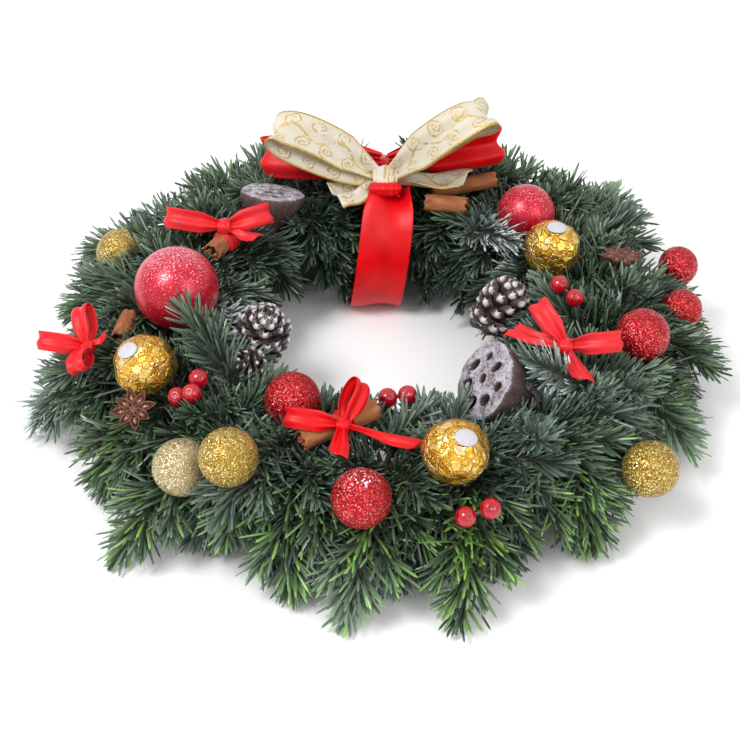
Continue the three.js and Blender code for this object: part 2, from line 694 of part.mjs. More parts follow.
// A twig grows along its points in short straight lengths, and ends where it would meet something.
function growTwig(points, steps, bunch, thick = TWIG.root) {
  const curve = new THREE.CatmullRomCurve3(points);
  const path = [curve.getPoint(0)];
  for (let i = 1; i <= steps; i++) {
    const [start, end] = [path.at(-1), curve.getPoint(i / steps)];
    const share = roomAlong(start, end, [thick, thick], bunch, { free: i === 1 ? 4 : 0, own: Infinity });
    if (share === 1 || share * start.distanceTo(end) > 4) path.push(start.clone().lerp(end, share));
    if (share < 1) break;
  }
  return path;
}

function pathLength(path) {
  return path.slice(1).reduce((sum, point, i) => sum + point.distanceTo(path[i]), 0);
}

// Of a few ways side by side, the twig takes the one that gets furthest.
function furthestTwig(ways, steps, bunch) {
  const paths = ways.map((points) => growTwig(points, steps, bunch));
  const path = paths.reduce((best, next) => (pathLength(next) > pathLength(best) + 4 ? next : best));
  for (let i = 1; i < path.length; i++) addRod(path[i - 1], path[i], TWIG.root, TWIG.root, bunch);
  return path;
}

// A side twig: it leaves a grown one at a share of its length, to the left or right, and sinks a bit.
function sideTwig(path, share, angle, length, bunch) {
  if (path.length < 3) return [];
  const curve = new THREE.CatmullRomCurve3(path);
  const start = curve.getPointAt(share);
  const ways = [0, 12, -12].map((shift) => {
    const way = curve.getTangentAt(share).applyAxisAngle(UP, radians(angle + shift));
    const middle = start.clone().addScaledVector(way, length / 2);
    return [start, middle, start.clone().addScaledVector(way.setZ(way.z - 0.12), length)];
  });
  return furthestTwig(ways, 2, bunch);
}

// The twigs of one bunch, from the bound butt outwards over the ring's top.
function bunchTwigs({ at, tip: [bearing, reach, height] }, random) {
  const top = BUTT.height;
  const wander = (size) => (random() - 0.5) * size;
  const turn = bearing - at;
  const grow = (points, steps, shifts = [0, 3, -3, 6, -6, 10, -10]) => {
    const butt = polar([at, BUTT.reach, top]);
    const moved = (shift) =>
      points.map(([b, r, h], i) => polar([b + (shift * (i + 1)) / points.length, r, h]));
    const ways = shifts.map((shift) => [butt, ...moved(shift)]);
    return furthestTwig(ways, steps, at);
  };
  const outer = grow(
    [
      [at + 0.3 * turn, 124, top],
      [at + 0.7 * turn, (124 + reach) / 2, (top + height) / 2 + 4],
      [bearing, reach - 11, height + 1],
    ],
    4,
    [0, 3, -3, 6, -6],
  );
  const inner = grow([[at + 3, 84, top], [at + 7, 64, 27 + wander(8)]], 3);
  const low = grow([[at + 5, 119, top], [at + 9, 134, 29], [at + 11, 143 + wander(6), 13]], 4);
  return [
    outer,
    inner,
    low,
    sideTwig(outer, 0.45, 42, 24, at),
    sideTwig(outer, 0.55, -42, 22, at),
  ].filter((path) => path.length > 1);
}

// A twig with its needles as one closed skin: rings of three corners, and from each face between two
// rings a needle is drawn out, leaning to the twig's tip. It stops short of what it would meet.
function needledTwig(path, bunch, random) {
  const curve = new THREE.CatmullRomCurve3(path);
  const length = curve.getLength();
  const bare = Math.min(TWIG.bare, length / 4) / length;
  const count = Math.max(3, 1 + Math.round((length * (1 - bare)) / NEEDLE.pitch));
  const shareAt = (k) => (k === 0 ? 0 : Math.min(1, bare + ((1 - bare) * (k - 1)) / (count - 1)));
  const corners = [];
  const index = [];
  const side = UP.clone();
  for (let k = 0; k <= count; k++) {
    const share = shareAt(k);
    const along = curve.getTangentAt(share);
    side.addScaledVector(along, -side.dot(along)).normalize();
    const radius = TWIG.root + (TWIG.tip - TWIG.root) * share;
    for (let s = 0; s < 3; s++) {
      const out = side.clone().applyAxisAngle(along, radians(120 * s + NEEDLE.twist * k));
      corners.push(curve.getPointAt(share).addScaledVector(out, radius));
    }
  }
  const needle = (base, way, size) => {
    const tip = base.clone().addScaledVector(way, size);
    const grown = roomAlong(base, tip, [NEEDLE.thick, 0.1], bunch, { free: 1, own: 3 });
    if (grown * size < NEEDLE.least) return null;
    const end = base.clone().lerp(tip, grown);
    addRod(base, end, NEEDLE.thick, 0.1, bunch);
    return corners.push(end) - 1;
  };
  const drawOut = (face, tip) => {
    for (let i = 0; i < face.length; i++) index.push(face[i], face[(i + 1) % face.length], tip);
  };
  for (let k = 0; k < count; k++)
    for (let s = 0; s < 3; s++) {
      const t = (s + 1) % 3;
      const face = [3 * k + s, 3 * k + t, 3 * k + 3 + t, 3 * k + 3 + s];
      const share = (shareAt(k) + shareAt(k + 1)) / 2;
      const along = curve.getTangentAt(share);
      const base = face.reduce((sum, i) => sum.add(corners[i]), new THREE.Vector3()).divideScalar(4);
      const out = base.clone().sub(curve.getPointAt(share)).normalize();
      const lean = radians(NEEDLE.lean - 14 * share + 10 * (random() - 0.5));
      const way = along.multiplyScalar(Math.cos(lean)).addScaledVector(out, Math.sin(lean));
      const size = NEEDLE.length * (0.85 + 0.3 * random());
      const tip = k === 0 ? null : needle(base, way, size);
      if (tip === null) index.push(face[0], face[1], face[2], face[0], face[2], face[3]);
      else drawOut(face, tip);
    }
  const last = [3 * count, 3 * count + 1, 3 * count + 2];
  const point = needle(curve.getPointAt(1), curve.getTangentAt(1), NEEDLE.length * 0.7);
  index.push(0, 2, 1);
  if (point === null) index.push(...last);
  else drawOut(last, point);
  return new THREE.BufferGeometry().setFromPoints(corners).setIndex(index);
}

function firBunches() {
  const random = seeded(7);
  const bunches = BUNCHES.map((bunch) => {
    const turn = radians(bunch.at);
    const tangent = new THREE.Vector3(-Math.sin(turn), Math.cos(turn), 0);
    const butt = polar([bunch.at, BUTT.reach, BUTT.height]);
    const ends = [-BUTT.half, BUTT.half].map((step) => butt.clone().addScaledVector(tangent, step));
    addRod(...ends, TWIG.butt, TWIG.butt, bunch.at);
    return { at: bunch.at, ends, twigs: bunchTwigs(bunch, random) };
  });
  return bunches.map(({ at, ends, twigs }) => {
    const butt = solid(tube(ends, [TWIG.butt, TWIG.butt], 5));
    const needled = twigs.map((path) => solid(needledTwig(path, at, random)));
    return ["fir_bunch_" + String(at).padStart(3, "0"), largest(joined([butt, ...needled]))];
  });
}

// ---------------------------------------------------------------- the wreath

const wreath = new THREE.Group();

function addPiece(name, body, colour, roughness = 0.7, metalness = 0) {
  const material = new THREE.MeshStandardMaterial({ color: COLOURS[colour], roughness, metalness });
  const mesh = new THREE.Mesh(geometryOf(solid(geometryOf(body))), material);
  mesh.name = name;
  wreath.add(mesh);
}

// Ornaments are cut off just clear of the straw, where their picks go in.
function addOrnament(name, body, ...finish) {
  const seated = largest(body.subtract(strawRoom));
  addOrnamentFaces(seated);
  addPiece(name, seated, ...finish);
}

const strawRoom = strawRing(GAP);
addPiece("straw_ring", strawRing(), "wrap", 0.9);
for (const item of BAUBLES) addOrnament(item.name, bauble(item), item.colour, 0.35, 0.4);
for (const item of SWEETS) {
  addOrnament("foil_sweet_" + item.name, sweet(item), "foil", 0.25, 1);
  addOrnament("paper_seal_" + item.name, seal(item), "paper", 0.6);
}
for (const item of CONES) addOrnament(item.name, cone(item), "cone", 0.85);
for (const item of PODS) addOrnament(item.name, lotusPod(item), "pod", 0.85);
for (const item of ANISE) addOrnament(item.name, starAnise(item), "anise", 0.6);
for (const item of BERRIES) addOrnament(item.name, berryCluster(item), "red", 0.2);
for (const item of STICKS) addOrnament(item.name, cinnamonStick(item), "cinnamon", 0.8);

addOrnament(
  "bow_left_back",
  smallBow({
    at: [151, 90.5, 66],
    wide: 11,
    span: 30,
    loops: [
      [[-1, 0.1, 0.12], [0.1, 0.6, 0.8], 1],
      [[1, 0.25, 0.2], [-0.2, 0.6, 0.8], 0.8],
    ],
    tails: [[[0.9, -0.5, -0.1], [0, 0, 1], 20]],
    stick: { ...STICKS[0], share: 0.42 },
  }),
  "red_satin",
);
addOrnament(
  "bow_front",
  smallBow({
    at: [260.2, 102.4, 62.9],
    wide: 9,
    span: 26,
    loops: [
      [[-1, 0.1, 0.1], [0.1, 0.6, 0.8], 0.95],
      [[0.35, 0.8, 0.45], [-0.5, 0.1, 0.8], 0.8],
    ],
    tails: [
      [[0.95, -0.28, -0.12], [0, 0, 1], 36],
      [[-0.1, -1, -0.1], [0, 0, 1], 19],
    ],
    stick: { ...STICKS[1], share: 0.55 },
  }),
  "red_satin",
);
addOrnament(
  "bow_left",
  smallBow({
    at: [197, 141.8, 57],
    wide: 9,
    span: 24,
    loops: [
      [[-1, 0.05, 0.15], [0, 0.6, 0.8], 0.95],
      [[-0.2, 0.85, 0.5], [0.8, 0.1, 0.6], 0.85],
      [[-0.1, -0.9, 0.1], [0.9, 0, 0.5], 0.75],
    ],
    tails: [[[0.9, 0.3, 0.45], [-0.4, 0, 1], 11]],
    stick: null,
  }),
  "red_satin",
);
addOrnament(
  "bow_right",
  smallBow({
    at: [327.7, 97.1, 66],
    wide: 10,
    span: 26,
    loops: [
      [[0.95, -0.1, 0.2], [0, 0.6, 0.8], 0.95],
      [[-0.5, 0.8, 0.4], [0.8, 0.4, 0.5], 0.95],
    ],
    tails: [
      [[-1, 0.42, 0.05], [0, 0, 1], 28],
      [[0.25, -1, -0.1], [0, 0, 1], 24],
    ],
    stick: null,
  }),
  "red_satin",
);
addOrnament("ribbon_band", ribbonBand(), "red_satin", 0.35);
addOrnament("bow_big_red", bigRedBow(), "red_satin", 0.35);
addOrnament("bow_big_cream", bigCreamBow(), "cream", 0.6);

for (const [name, bunch] of firBunches()) addPiece(name, bunch, "fir", 0.7);

// The origin goes to the bottom centre of the box round the whole wreath.
const box = new THREE.Box3().setFromObject(wreath);
wreath.position.set(-(box.min.x + box.max.x) / 2, -(box.min.y + box.max.y) / 2, -box.min.z);

export default wreath;
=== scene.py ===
"""Dresses the evergreen wreath: fir sprays with fine needles, finished ornaments, ribbons, and light.

Places are as in the source: millimetres round the straw ring's middle, given as bearing (degrees, 0
to the right, 90 at the back where the big bow is), reach from the middle and height above the
surface. A mesh is moved to the row frame, in metres, when its object is made.
"""

import math

import bmesh
import bpy
import numpy as np
from mathutils import Matrix, Vector
from mathutils.bvhtree import BVHTree


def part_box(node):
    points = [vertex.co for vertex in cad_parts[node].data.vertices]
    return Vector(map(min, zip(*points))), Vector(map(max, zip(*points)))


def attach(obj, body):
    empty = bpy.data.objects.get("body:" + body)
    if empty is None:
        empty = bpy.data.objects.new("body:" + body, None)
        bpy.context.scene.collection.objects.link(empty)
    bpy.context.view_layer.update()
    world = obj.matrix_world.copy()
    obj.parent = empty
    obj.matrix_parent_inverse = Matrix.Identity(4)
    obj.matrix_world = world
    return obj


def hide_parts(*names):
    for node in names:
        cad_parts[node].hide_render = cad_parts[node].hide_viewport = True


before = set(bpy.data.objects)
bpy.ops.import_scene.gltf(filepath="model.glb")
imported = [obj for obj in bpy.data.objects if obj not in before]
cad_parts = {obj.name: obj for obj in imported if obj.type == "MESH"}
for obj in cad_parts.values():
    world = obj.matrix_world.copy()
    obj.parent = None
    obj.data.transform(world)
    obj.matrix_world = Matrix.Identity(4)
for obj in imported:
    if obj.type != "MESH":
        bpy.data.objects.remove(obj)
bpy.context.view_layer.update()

# ---------------------------------------------------------------- driving dimensions, mm

MM = 0.001
ring_low, ring_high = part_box("straw_ring")
MIDDLE = Vector(((ring_low.x + ring_high.x) / 2, (ring_low.y + ring_high.y) / 2, 0))

UP = np.array([0.0, 0.0, 1.0])
GOLDEN = math.radians(137.508)

RING = {"reach": 104, "thick": 20, "middle": 17.9}
HOLE = 45.5  # reach of the open middle, which no needle enters
BUTT_HEIGHT = 39.2  # where the sprays are bound, on top of the straw
SURFACE_GAP = 0.35

NEEDLE = {"length": 16, "width": 1.4, "thick": 0.5, "pitch": 0.35, "least": 3}
TWIG = {"root": 1.2, "tip": 0.6}
PICK = 0.8  # radius of the wire that holds an ornament to the straw
SWEET = 14.4
SEAL = (5.06, 3.96, 0.5)  # half its length, half its width, thickness
BERRY = 4.4
FLAKE = 0.48  # across a flake of glitter

LEAST_SHEET = 10  # a narrower ribbon is put down as this wide
PAINT_LENGTH = 100  # ribbon to one unit of the paint that runs along it
CREAM_WIDE = 23
# The gold curls on the cream ribbon; their line is a share of the pitch.
CURL = {"apart": 14, "reach": 4.6, "pitch": 2.3, "line": 0.4, "wobble": 6}

# ---------------------------------------------------------------- where things are

# Each bunch has its bearing and the tip of its long outer spray: bearing, reach, height.
BUNCHES = {
    10: (9, 164, 24),
    30: (37, 187, 34),
    50: (55, 153, 44),
    70: (74, 147, 38),
    90: (90, 128, 36),
    110: (106, 150, 38),
    130: (127, 166, 40),
    150: (152, 190, 22),
    170: (163, 176, 14),
    190: (194, 182, 10),
    210: (208, 165, 9),
    230: (227, 180, 5),
    250: (255, 160, 5),
    270: (264, 170, 5),
    290: (281, 173, 4),
    310: (308, 160, 5),
    330: (336, 164, 9),
    350: (355, 170, 18),
}

# Each bauble: node, place, radius, finish, and how much white dust lies on its upper side.
BAUBLES = [
    ("bauble_red_large", (185, 98, 66), 20, "red_satin_ball", 0.5),
    ("bauble_red_back", (41, 99, 60), 15, "red_satin_ball", 0.3),
    ("bauble_red_inner", (243, 88, 57), 12.5, "red_glitter", 0.1),
    ("bauble_red_front", (266, 137, 55), 12.5, "red_glitter", 0.35),
    ("bauble_red_right", (343, 125, 60), 12.5, "red_glitter", 0.1),
    ("bauble_red_rim_back", (15, 157, 44), 10, "red_glitter", 0.15),
    ("bauble_red_rim_right", (2, 147.5, 43), 10, "red_glitter", 0.1),
    ("bauble_gold_front", (242, 137, 63), 12.5, "gold_glitter", 0),
    ("bauble_gold_right", (319, 154, 37), 12.5, "gold_glitter", 0),
    ("bauble_gold_back", (160, 143, 46), 12.5, "gold_glitter", 0),
    ("bauble_pale_front", (232, 140, 47), 12.5, "pale_glitter", 0),
]

# Each sweet: name, place, and the way that its paper seal faces.
SWEETS = [
    ("left", (209, 122, 61), (-0.41, -0.33, 0.85)),
    ("front", (284, 121, 63), (0.26, -0.38, 0.89)),
    ("back", (20, 90, 62), (0.07, -0.2, 0.98)),
]

# Each cone: node, place, radius, length, its axis from stalk to tip, its count of scales, and how
# much white dust lies on it.
CONES = [
    ("cone_left", (195, 60, 44), 15, 31, (0.25, -0.1, 1), 60, 0.31),
    ("cone_right", (6, 59, 43), 14.5, 31, (0.55, 0.5, 0.75), 60, 0.12),
    ("cone_low", (217, 79, 50), 10, 20, (-0.5, -0.6, 0.7), 42, 0.2),
]

# The pits of each pod, as shares of its radius: two for the middle, the half-length and the half-width.
POD_LEFT_PITS = [
    (0.0, 0.05, 0.11, 0.10), (0.34, 0.10, 0.10, 0.10), (0.10, 0.38, 0.11, 0.09),
    (-0.27, 0.28, 0.10, 0.10), (-0.36, -0.08, 0.11, 0.10), (-0.10, -0.34, 0.10, 0.09),
    (0.26, -0.26, 0.11, 0.10), (0.66, 0.06, 0.09, 0.09), (0.45, 0.50, 0.10, 0.09),
    (-0.05, 0.70, 0.09, 0.09), (-0.52, 0.46, 0.10, 0.09), (-0.69, -0.12, 0.09, 0.09),
    (-0.42, -0.55, 0.10, 0.09), (0.12, -0.68, 0.09, 0.09), (0.55, -0.42, 0.09, 0.09),
]
POD_RIGHT_PITS = [
    (0.02, 0.02, 0.12, 0.11), (0.50, 0.12, 0.16, 0.10), (0.26, 0.54, 0.11, 0.10),
    (-0.24, 0.54, 0.16, 0.12), (-0.58, 0.14, 0.19, 0.14), (-0.46, -0.42, 0.20, 0.14),
    (0.02, -0.56, 0.16, 0.12), (0.48, -0.40, 0.13, 0.10),
]
PIT_GROWTH = 1.2  # a pit is opened this much wider than its row says

# Each pod: node, place, radius, depth, the way its face looks, and its pits.
PODS = [
    ("lotus_pod_left", (126, 97, 64), 16.5, 27, (0.12, 0.3, 0.95), POD_LEFT_PITS),
    ("lotus_pod_right", (303, 82, 60), 18.5, 28, (-0.79, -0.2, 0.57), POD_RIGHT_PITS),
]

ANISE = [
    ("star_anise_left", (217, 137, 55), 10.5, (-0.1, -0.45, 0.9)),
    ("star_anise_back", (13, 122, 59), 11, (0.05, 0.15, 1)),
]

BERRIES = {
    "berries_left": [(221, 108, 63), (223.6, 115.5, 62), (220.5, 119, 58)],
    "berries_right": [(0, 85, 62), (355, 92, 60)],
    "berries_front": [(283, 146, 50), (287, 147, 53)],
    "berries_inner": [(271.5, 70, 51), (279, 69, 51)],
}

# Each cinnamon stick: from one end to the other, and its radius.
STICKS = {
    "cinnamon_left_back": ((159.5, 91, 58), (140.5, 91, 58), 4.8),
    "cinnamon_front": ((251.4, 110.5, 57), (267.8, 86.7, 59), 5),
    "cinnamon_left": ((192.5, 127, 50), (185.5, 121, 52), 4.5),
    "cinnamon_back_low": ((73, 80, 59), (58, 84, 60), 4.5),
    "cinnamon_back_high": ((73, 92, 58.5), (57, 112, 62), 4.5),
}

# Each small bow: its knot's place, ribbon width and span. A loop has its direction, the direction
# of its width and its share of the span, and a tail its directions and length.
BOWS = {
    "bow_left_back": {
        "at": (151, 90.5, 66), "wide": 11, "span": 30, "stick": ("cinnamon_left_back", 0.42),
        "loops": [((-1, 0.1, 0.12), (0.1, 0.6, 0.8), 1), ((1, 0.25, 0.2), (-0.2, 0.6, 0.8), 0.8)],
        "tails": [((0.9, -0.5, -0.1), (0, 0, 1), 20)],
    },
    "bow_front": {
        "at": (260.2, 102.4, 62.9), "wide": 9, "span": 26, "stick": ("cinnamon_front", 0.55),
        "loops": [((-1, 0.1, 0.1), (0.1, 0.6, 0.8), 0.95), ((0.35, 0.8, 0.45), (-0.5, 0.1, 0.8), 0.8)],
        "tails": [((0.95, -0.28, -0.12), (0, 0, 1), 36), ((-0.1, -1, -0.1), (0, 0, 1), 19)],
    },
    "bow_left": {
        "at": (197, 141.8, 57), "wide": 9, "span": 24, "stick": None,
        "loops": [
            ((-1, 0.05, 0.15), (0, 0.6, 0.8), 0.95),
            ((-0.2, 0.85, 0.5), (0.8, 0.1, 0.6), 0.85),
            ((-0.1, -0.9, 0.1), (0.9, 0, 0.5), 0.75),
        ],
        "tails": [((0.9, 0.3, 0.45), (-0.4, 0, 1), 11)],
    },
    "bow_right": {
        "at": (327.7, 97.1, 66), "wide": 10, "span": 26, "stick": None,
        "loops": [((0.95, -0.1, 0.2), (0, 0.6, 0.8), 0.95), ((-0.5, 0.8, 0.4), (0.8, 0.4, 0.5), 0.95)],
        "tails": [((-1, 0.42, 0.05), (0, 0, 1), 28), ((0.25, -1, -0.1), (0, 0, 1), 24)],
    },
}
BOW_DUST = {"bow_left_back": 0.26, "bow_front": 0.03, "bow_left": 0.16, "bow_right": 0.28}

# The wide ribbon round ring and fir: its width, its top, its lean and the reach of its middle. The
# strap of the big bow crosses it, and the cream bow lies on that.
BAND = {"wide": 27, "top": 65, "slant": 0.13, "middle": 98}
STRAP = {"low": 65.35, "front": 73, "back": 111}
KNOT = np.array([2.0, 75.0, 68.95])
CREAM_LOW = 66.6

# That ribbon's path, in reach and height: corners with the curves between them.
BAND_PATH = [
    [(102, 65), (126, 65), (147, 48), (147, 26)],
    [(147, 26), (147, 12), (140, 0), (126, 0)],
    [(126, 0), (108, 0), (91, 0), (74, 0)],
    [(74, 0), (60, 0), (50, 10), (50, 24)],
    [(50, 24), (50, 46), (64, 65), (80, 65)],
    [(80, 65), (87, 65), (95, 65), (101.5, 65)],
]

# Sprays that stand out from their bunch: their points, and side twigs as share, angle and length.
FEATURES = {
    210: [([(222, 92, 52), (214, 93, 66), (203, 97, 75)], [(0.5, 35, 15), (0.6, -35, 14)])],
    310: [([(305, 110, 46), (302, 120, 56), (299.5, 130, 65)], [])],
    330: [
        ([(331, 116, 44), (329, 126, 51), (327, 136, 59)], []),
        ([(325, 113, 52), (320, 104, 64), (314, 97, 74)], []),
    ],
    50: [([(52, 86, 50), (44, 71, 60), (28, 73, 64)], [(0.5, 35, 20), (0.6, -35, 18)])],
    190: [([(195, 120, 46), (196, 138, 47), (196, 158, 40)], [(0.5, 35, 18), (0.6, -35, 18)])],
    170: [([(171, 120, 46), (169, 136, 45), (167, 154, 42)], [(0.6, -35, 14)])],
    110: [
        ([(115, 86, 47), (121, 70, 40)], [(0.6, 30, 14)]),
        ([(112, 82, 45), (115, 64, 26)], [(0.6, 30, 14)]),
    ],
    130: [
        ([(138, 90, 47), (134, 72, 42)], [(0.6, 30, 14)]),
        ([(127, 86, 44), (124, 66, 26)], [(0.6, -30, 14)]),
        ([(134, 86, 44), (131, 68, 20)], []),
    ],
    150: [([(142, 84, 45), (136, 66, 27)], [(0.6, 30, 14)])],
    270: [
        ([(273, 112, 38), (277, 124, 28), (279, 133, 15)], [(0.5, 35, 16), (0.6, -35, 14)]),
        ([(269, 114, 34), (270, 126, 20)], [(0.5, 35, 14)]),
    ],
    250: [([(246, 104, 50), (243, 128, 50), (241, 150, 42)], [(0.5, 35, 20), (0.6, -35, 20)])],
}

# Where artificial snow was dusted: bearing, reach, height, how far it spreads, how thick.
SNOW = [
    (188, 64, 52, 26, 0.9),
    (8, 58, 46, 22, 0.6),
    (33, 70, 62, 26, 0.85),
    (126, 97, 55, 20, 0.45),
    (303, 82, 50, 28, 0.6),
    (318, 100, 68, 26, 0.85),
    (301, 126, 62, 24, 0.55),
    (328, 134, 56, 22, 0.45),
    (194, 172, 14, 26, 0.75),
    (152, 186, 24, 24, 0.45),
    (40, 190, 34, 30, 0.5),
    (243, 140, 44, 30, 0.45),
    (262, 158, 12, 26, 0.5),
    (285, 80, 45, 22, 0.5),
    (210, 80, 52, 22, 0.5),
]


# ---------------------------------------------------------------- small tools


def polar(place):
    bearing, reach, height = place
    turn = math.radians(bearing)
    return np.array([reach * math.cos(turn), reach * math.sin(turn), height])


def unit(v):
    v = np.asarray(v, float)
    return v / np.maximum(np.linalg.norm(v, axis=-1, keepdims=True), 1e-9)


def straw_middle(place):
    """The nearest point on the middle line of the straw."""
    flat = unit(place * (1, 1, 0)) * RING["reach"]
    return flat + UP * RING["middle"]


def basis(way, side=(1, 0, 0)):
    """Rows of local X, Y and Z, with Z the given way and X near side."""
    z = unit(way)
    x = np.array(side, float)
    if abs(x @ z) > 0.98 * np.linalg.norm(x):
        x = np.array([0.0, 1.0, 0.0])
    x = unit(x - z * (x @ z))
    return np.array([x, np.cross(z, x), z])


def smooth_step(low, high, x):
    t = np.clip((np.asarray(x, float) - low) / (high - low), 0, 1)
    return t * t * (3 - 2 * t)


def curve_through(points, steps):
    """A smooth line through the points, as an array with steps rows to each stretch."""
    p = np.array([points[0], *points, points[-1]], float)
    p[0] = 2 * p[1] - p[2]
    p[-1] = 2 * p[-2] - p[-3]
    t = (np.arange(steps) / steps)[:, None]
    line = []
    for a, b, c, d in zip(p, p[1:], p[2:], p[3:]):
        square = (2 * a - 5 * b + 4 * c - d) * t**2
        cube = (3 * b - a - 3 * c + d) * t**3
        line.extend(0.5 * (2 * b + (c - a) * t + square + cube))
    line.append(p[-2])
    return np.array(line)


def line_lengths(line):
    """How far along the line each of its points is."""
    return np.concatenate([[0], np.cumsum(np.linalg.norm(np.diff(line, axis=0), axis=1))])


def points_at(line, lengths, at):
    return np.stack([np.interp(at, lengths, line[:, k]) for k in range(3)], axis=-1)


def tangents(line):
    return unit(np.gradient(line, axis=0))


class Shell:
    """Points, faces, each face's material number and each point's paint, of a piece in the making."""

    def __init__(self):
        self.points, self.faces, self.kinds, self.paint = [], [], [], []
        self.count = 0

    def add(self, points, faces, kind=0, paint=(0, 0, 0)):
        points = np.asarray(points, float).reshape(-1, 3)
        paint = np.broadcast_to(np.asarray(paint, float), (len(points), 3))
        self.faces.extend([self.count + i for i in face] for face in faces)
        self.kinds.extend(kind if isinstance(kind, list) else [kind] * len(faces))
        self.points.append(points)
        self.paint.append(paint)
        self.count += len(points)

    def add_pick(self, place, kind):
        """The wire that holds an ornament to the straw."""
        end = straw_middle(place) * 0.8 + place * 0.2
        self.add(*tube(np.linspace(place, end, 5), [PICK] * 5, 6), kind)


def grid_faces(rows, columns, closed=False):
    """Quads between the points of a grid; closed joins its last column to the first."""
    faces = []
    for i in range(rows - 1):
        for j in range(columns if closed else columns - 1):
            k = (j + 1) % columns
            low, high = i * columns, (i + 1) * columns
            faces.append((low + j, low + k, high + k, high + j))
    return faces


def slab(top, bottom):
    """A closed sheet between two grids of points, top being the side that its faces look out of."""
    rows, columns = top.shape[:2]
    size = rows * columns
    faces = grid_faces(rows, columns)
    faces += [tuple(i + size for i in reversed(face)) for face in faces]
    rim = [*range(columns)]
    rim += [i * columns + columns - 1 for i in range(1, rows)]
    rim += [(rows - 1) * columns + j for j in range(columns - 2, -1, -1)]
    rim += [i * columns for i in range(rows - 2, 0, -1)]
    faces += [(b, a, a + size, b + size) for a, b in zip(rim, rim[1:] + rim[:1])]
    return np.concatenate([top.reshape(-1, 3), bottom.reshape(-1, 3)]), faces


def tube(line, radii, sides):
    """A closed tube along a line, with a radius for each of its points."""
    line = np.asarray(line, float)
    ways = tangents(line)
    side = np.array([0.31, 0.17, 0.94])
    rings = []
    for point, way, radius in zip(line, ways, radii):
        side = unit(side - way * (side @ way))
        across = np.cross(way, side)
        a = 2 * np.pi * np.arange(sides)[:, None] / sides
        rings.append(point + radius * (side * np.cos(a) + across * np.sin(a)))
    faces = grid_faces(len(line), sides, closed=True)
    last = (len(line) - 1) * sides
    faces += [tuple(reversed(range(sides))), tuple(range(last, last + sides))]
    return np.concatenate(rings), faces


def turned(profile, columns, ribs=0.0, count=1):
    """A closed body turned round local Z from points of reach and height, first and last on the axis."""
    profile = np.asarray(profile, float)
    a = 2 * np.pi * np.arange(columns) / columns
    reach = profile[1:-1, :1] * (1 + ribs * np.cos(count * a))
    height = np.repeat(profile[1:-1, 1:], columns, axis=1)
    rings = np.stack([reach * np.cos(a), reach * np.sin(a), height], axis=-1).reshape(-1, 3)
    ends = [(0, 0, profile[0, 1]), (0, 0, profile[-1, 1])]
    rows = len(profile) - 2
    faces = grid_faces(rows, columns, closed=True)
    first, last = len(rings), len(rings) + 1
    for j in range(columns):
        k = (j + 1) % columns
        faces.append((k, j, first))
        faces.append(((rows - 1) * columns + j, (rows - 1) * columns + k, last))
    return np.concatenate([rings, ends]), faces


def ball_points(subdivisions):
    """Directions all round, and the triangles between them."""
    made = bmesh.new()
    bmesh.ops.create_icosphere(made, subdivisions=subdivisions, radius=1)
    points = np.array([v.co[:] for v in made.verts])
    faces = [tuple(v.index for v in face.verts) for face in made.faces]
    made.free()
    return unit(points), faces


FINE_BALL = ball_points(6)
FINEST_BALL = ball_points(7)
SMALL_BALL = ball_points(4)


def make_piece(name, shell, materials, replaces=(), smooth=True, closed_up=False):
    """A piece of the wreath from points in millimetres round the ring's middle. Unless its faces are
    known to look out already, they are turned that way."""
    mesh = bpy.data.meshes.new(name)
    placed = np.concatenate(shell.points) * MM + np.array(MIDDLE)
    mesh.from_pydata(placed.tolist(), [], shell.faces)
    for material in materials:
        mesh.materials.append(material)
    mesh.polygons.foreach_set("material_index", np.array(shell.kinds, np.int32))
    mesh.polygons.foreach_set("use_smooth", np.full(len(mesh.polygons), smooth))
    paint = np.ones((shell.count, 4), np.float32)
    paint[:, :3] = np.concatenate(shell.paint)
    mesh.attributes.new("paint", "FLOAT_COLOR", "POINT").data.foreach_set("color", paint.ravel())
    if not closed_up:
        made = bmesh.new()
        made.from_mesh(mesh)
        bmesh.ops.recalc_face_normals(made, faces=made.faces)
        made.to_mesh(mesh)
        made.free()
    obj = bpy.data.objects.new(name, mesh)
    bpy.context.scene.collection.objects.link(obj)
    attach(obj, "root")
    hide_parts(*replaces)
    return obj


# ---------------------------------------------------------------- materials


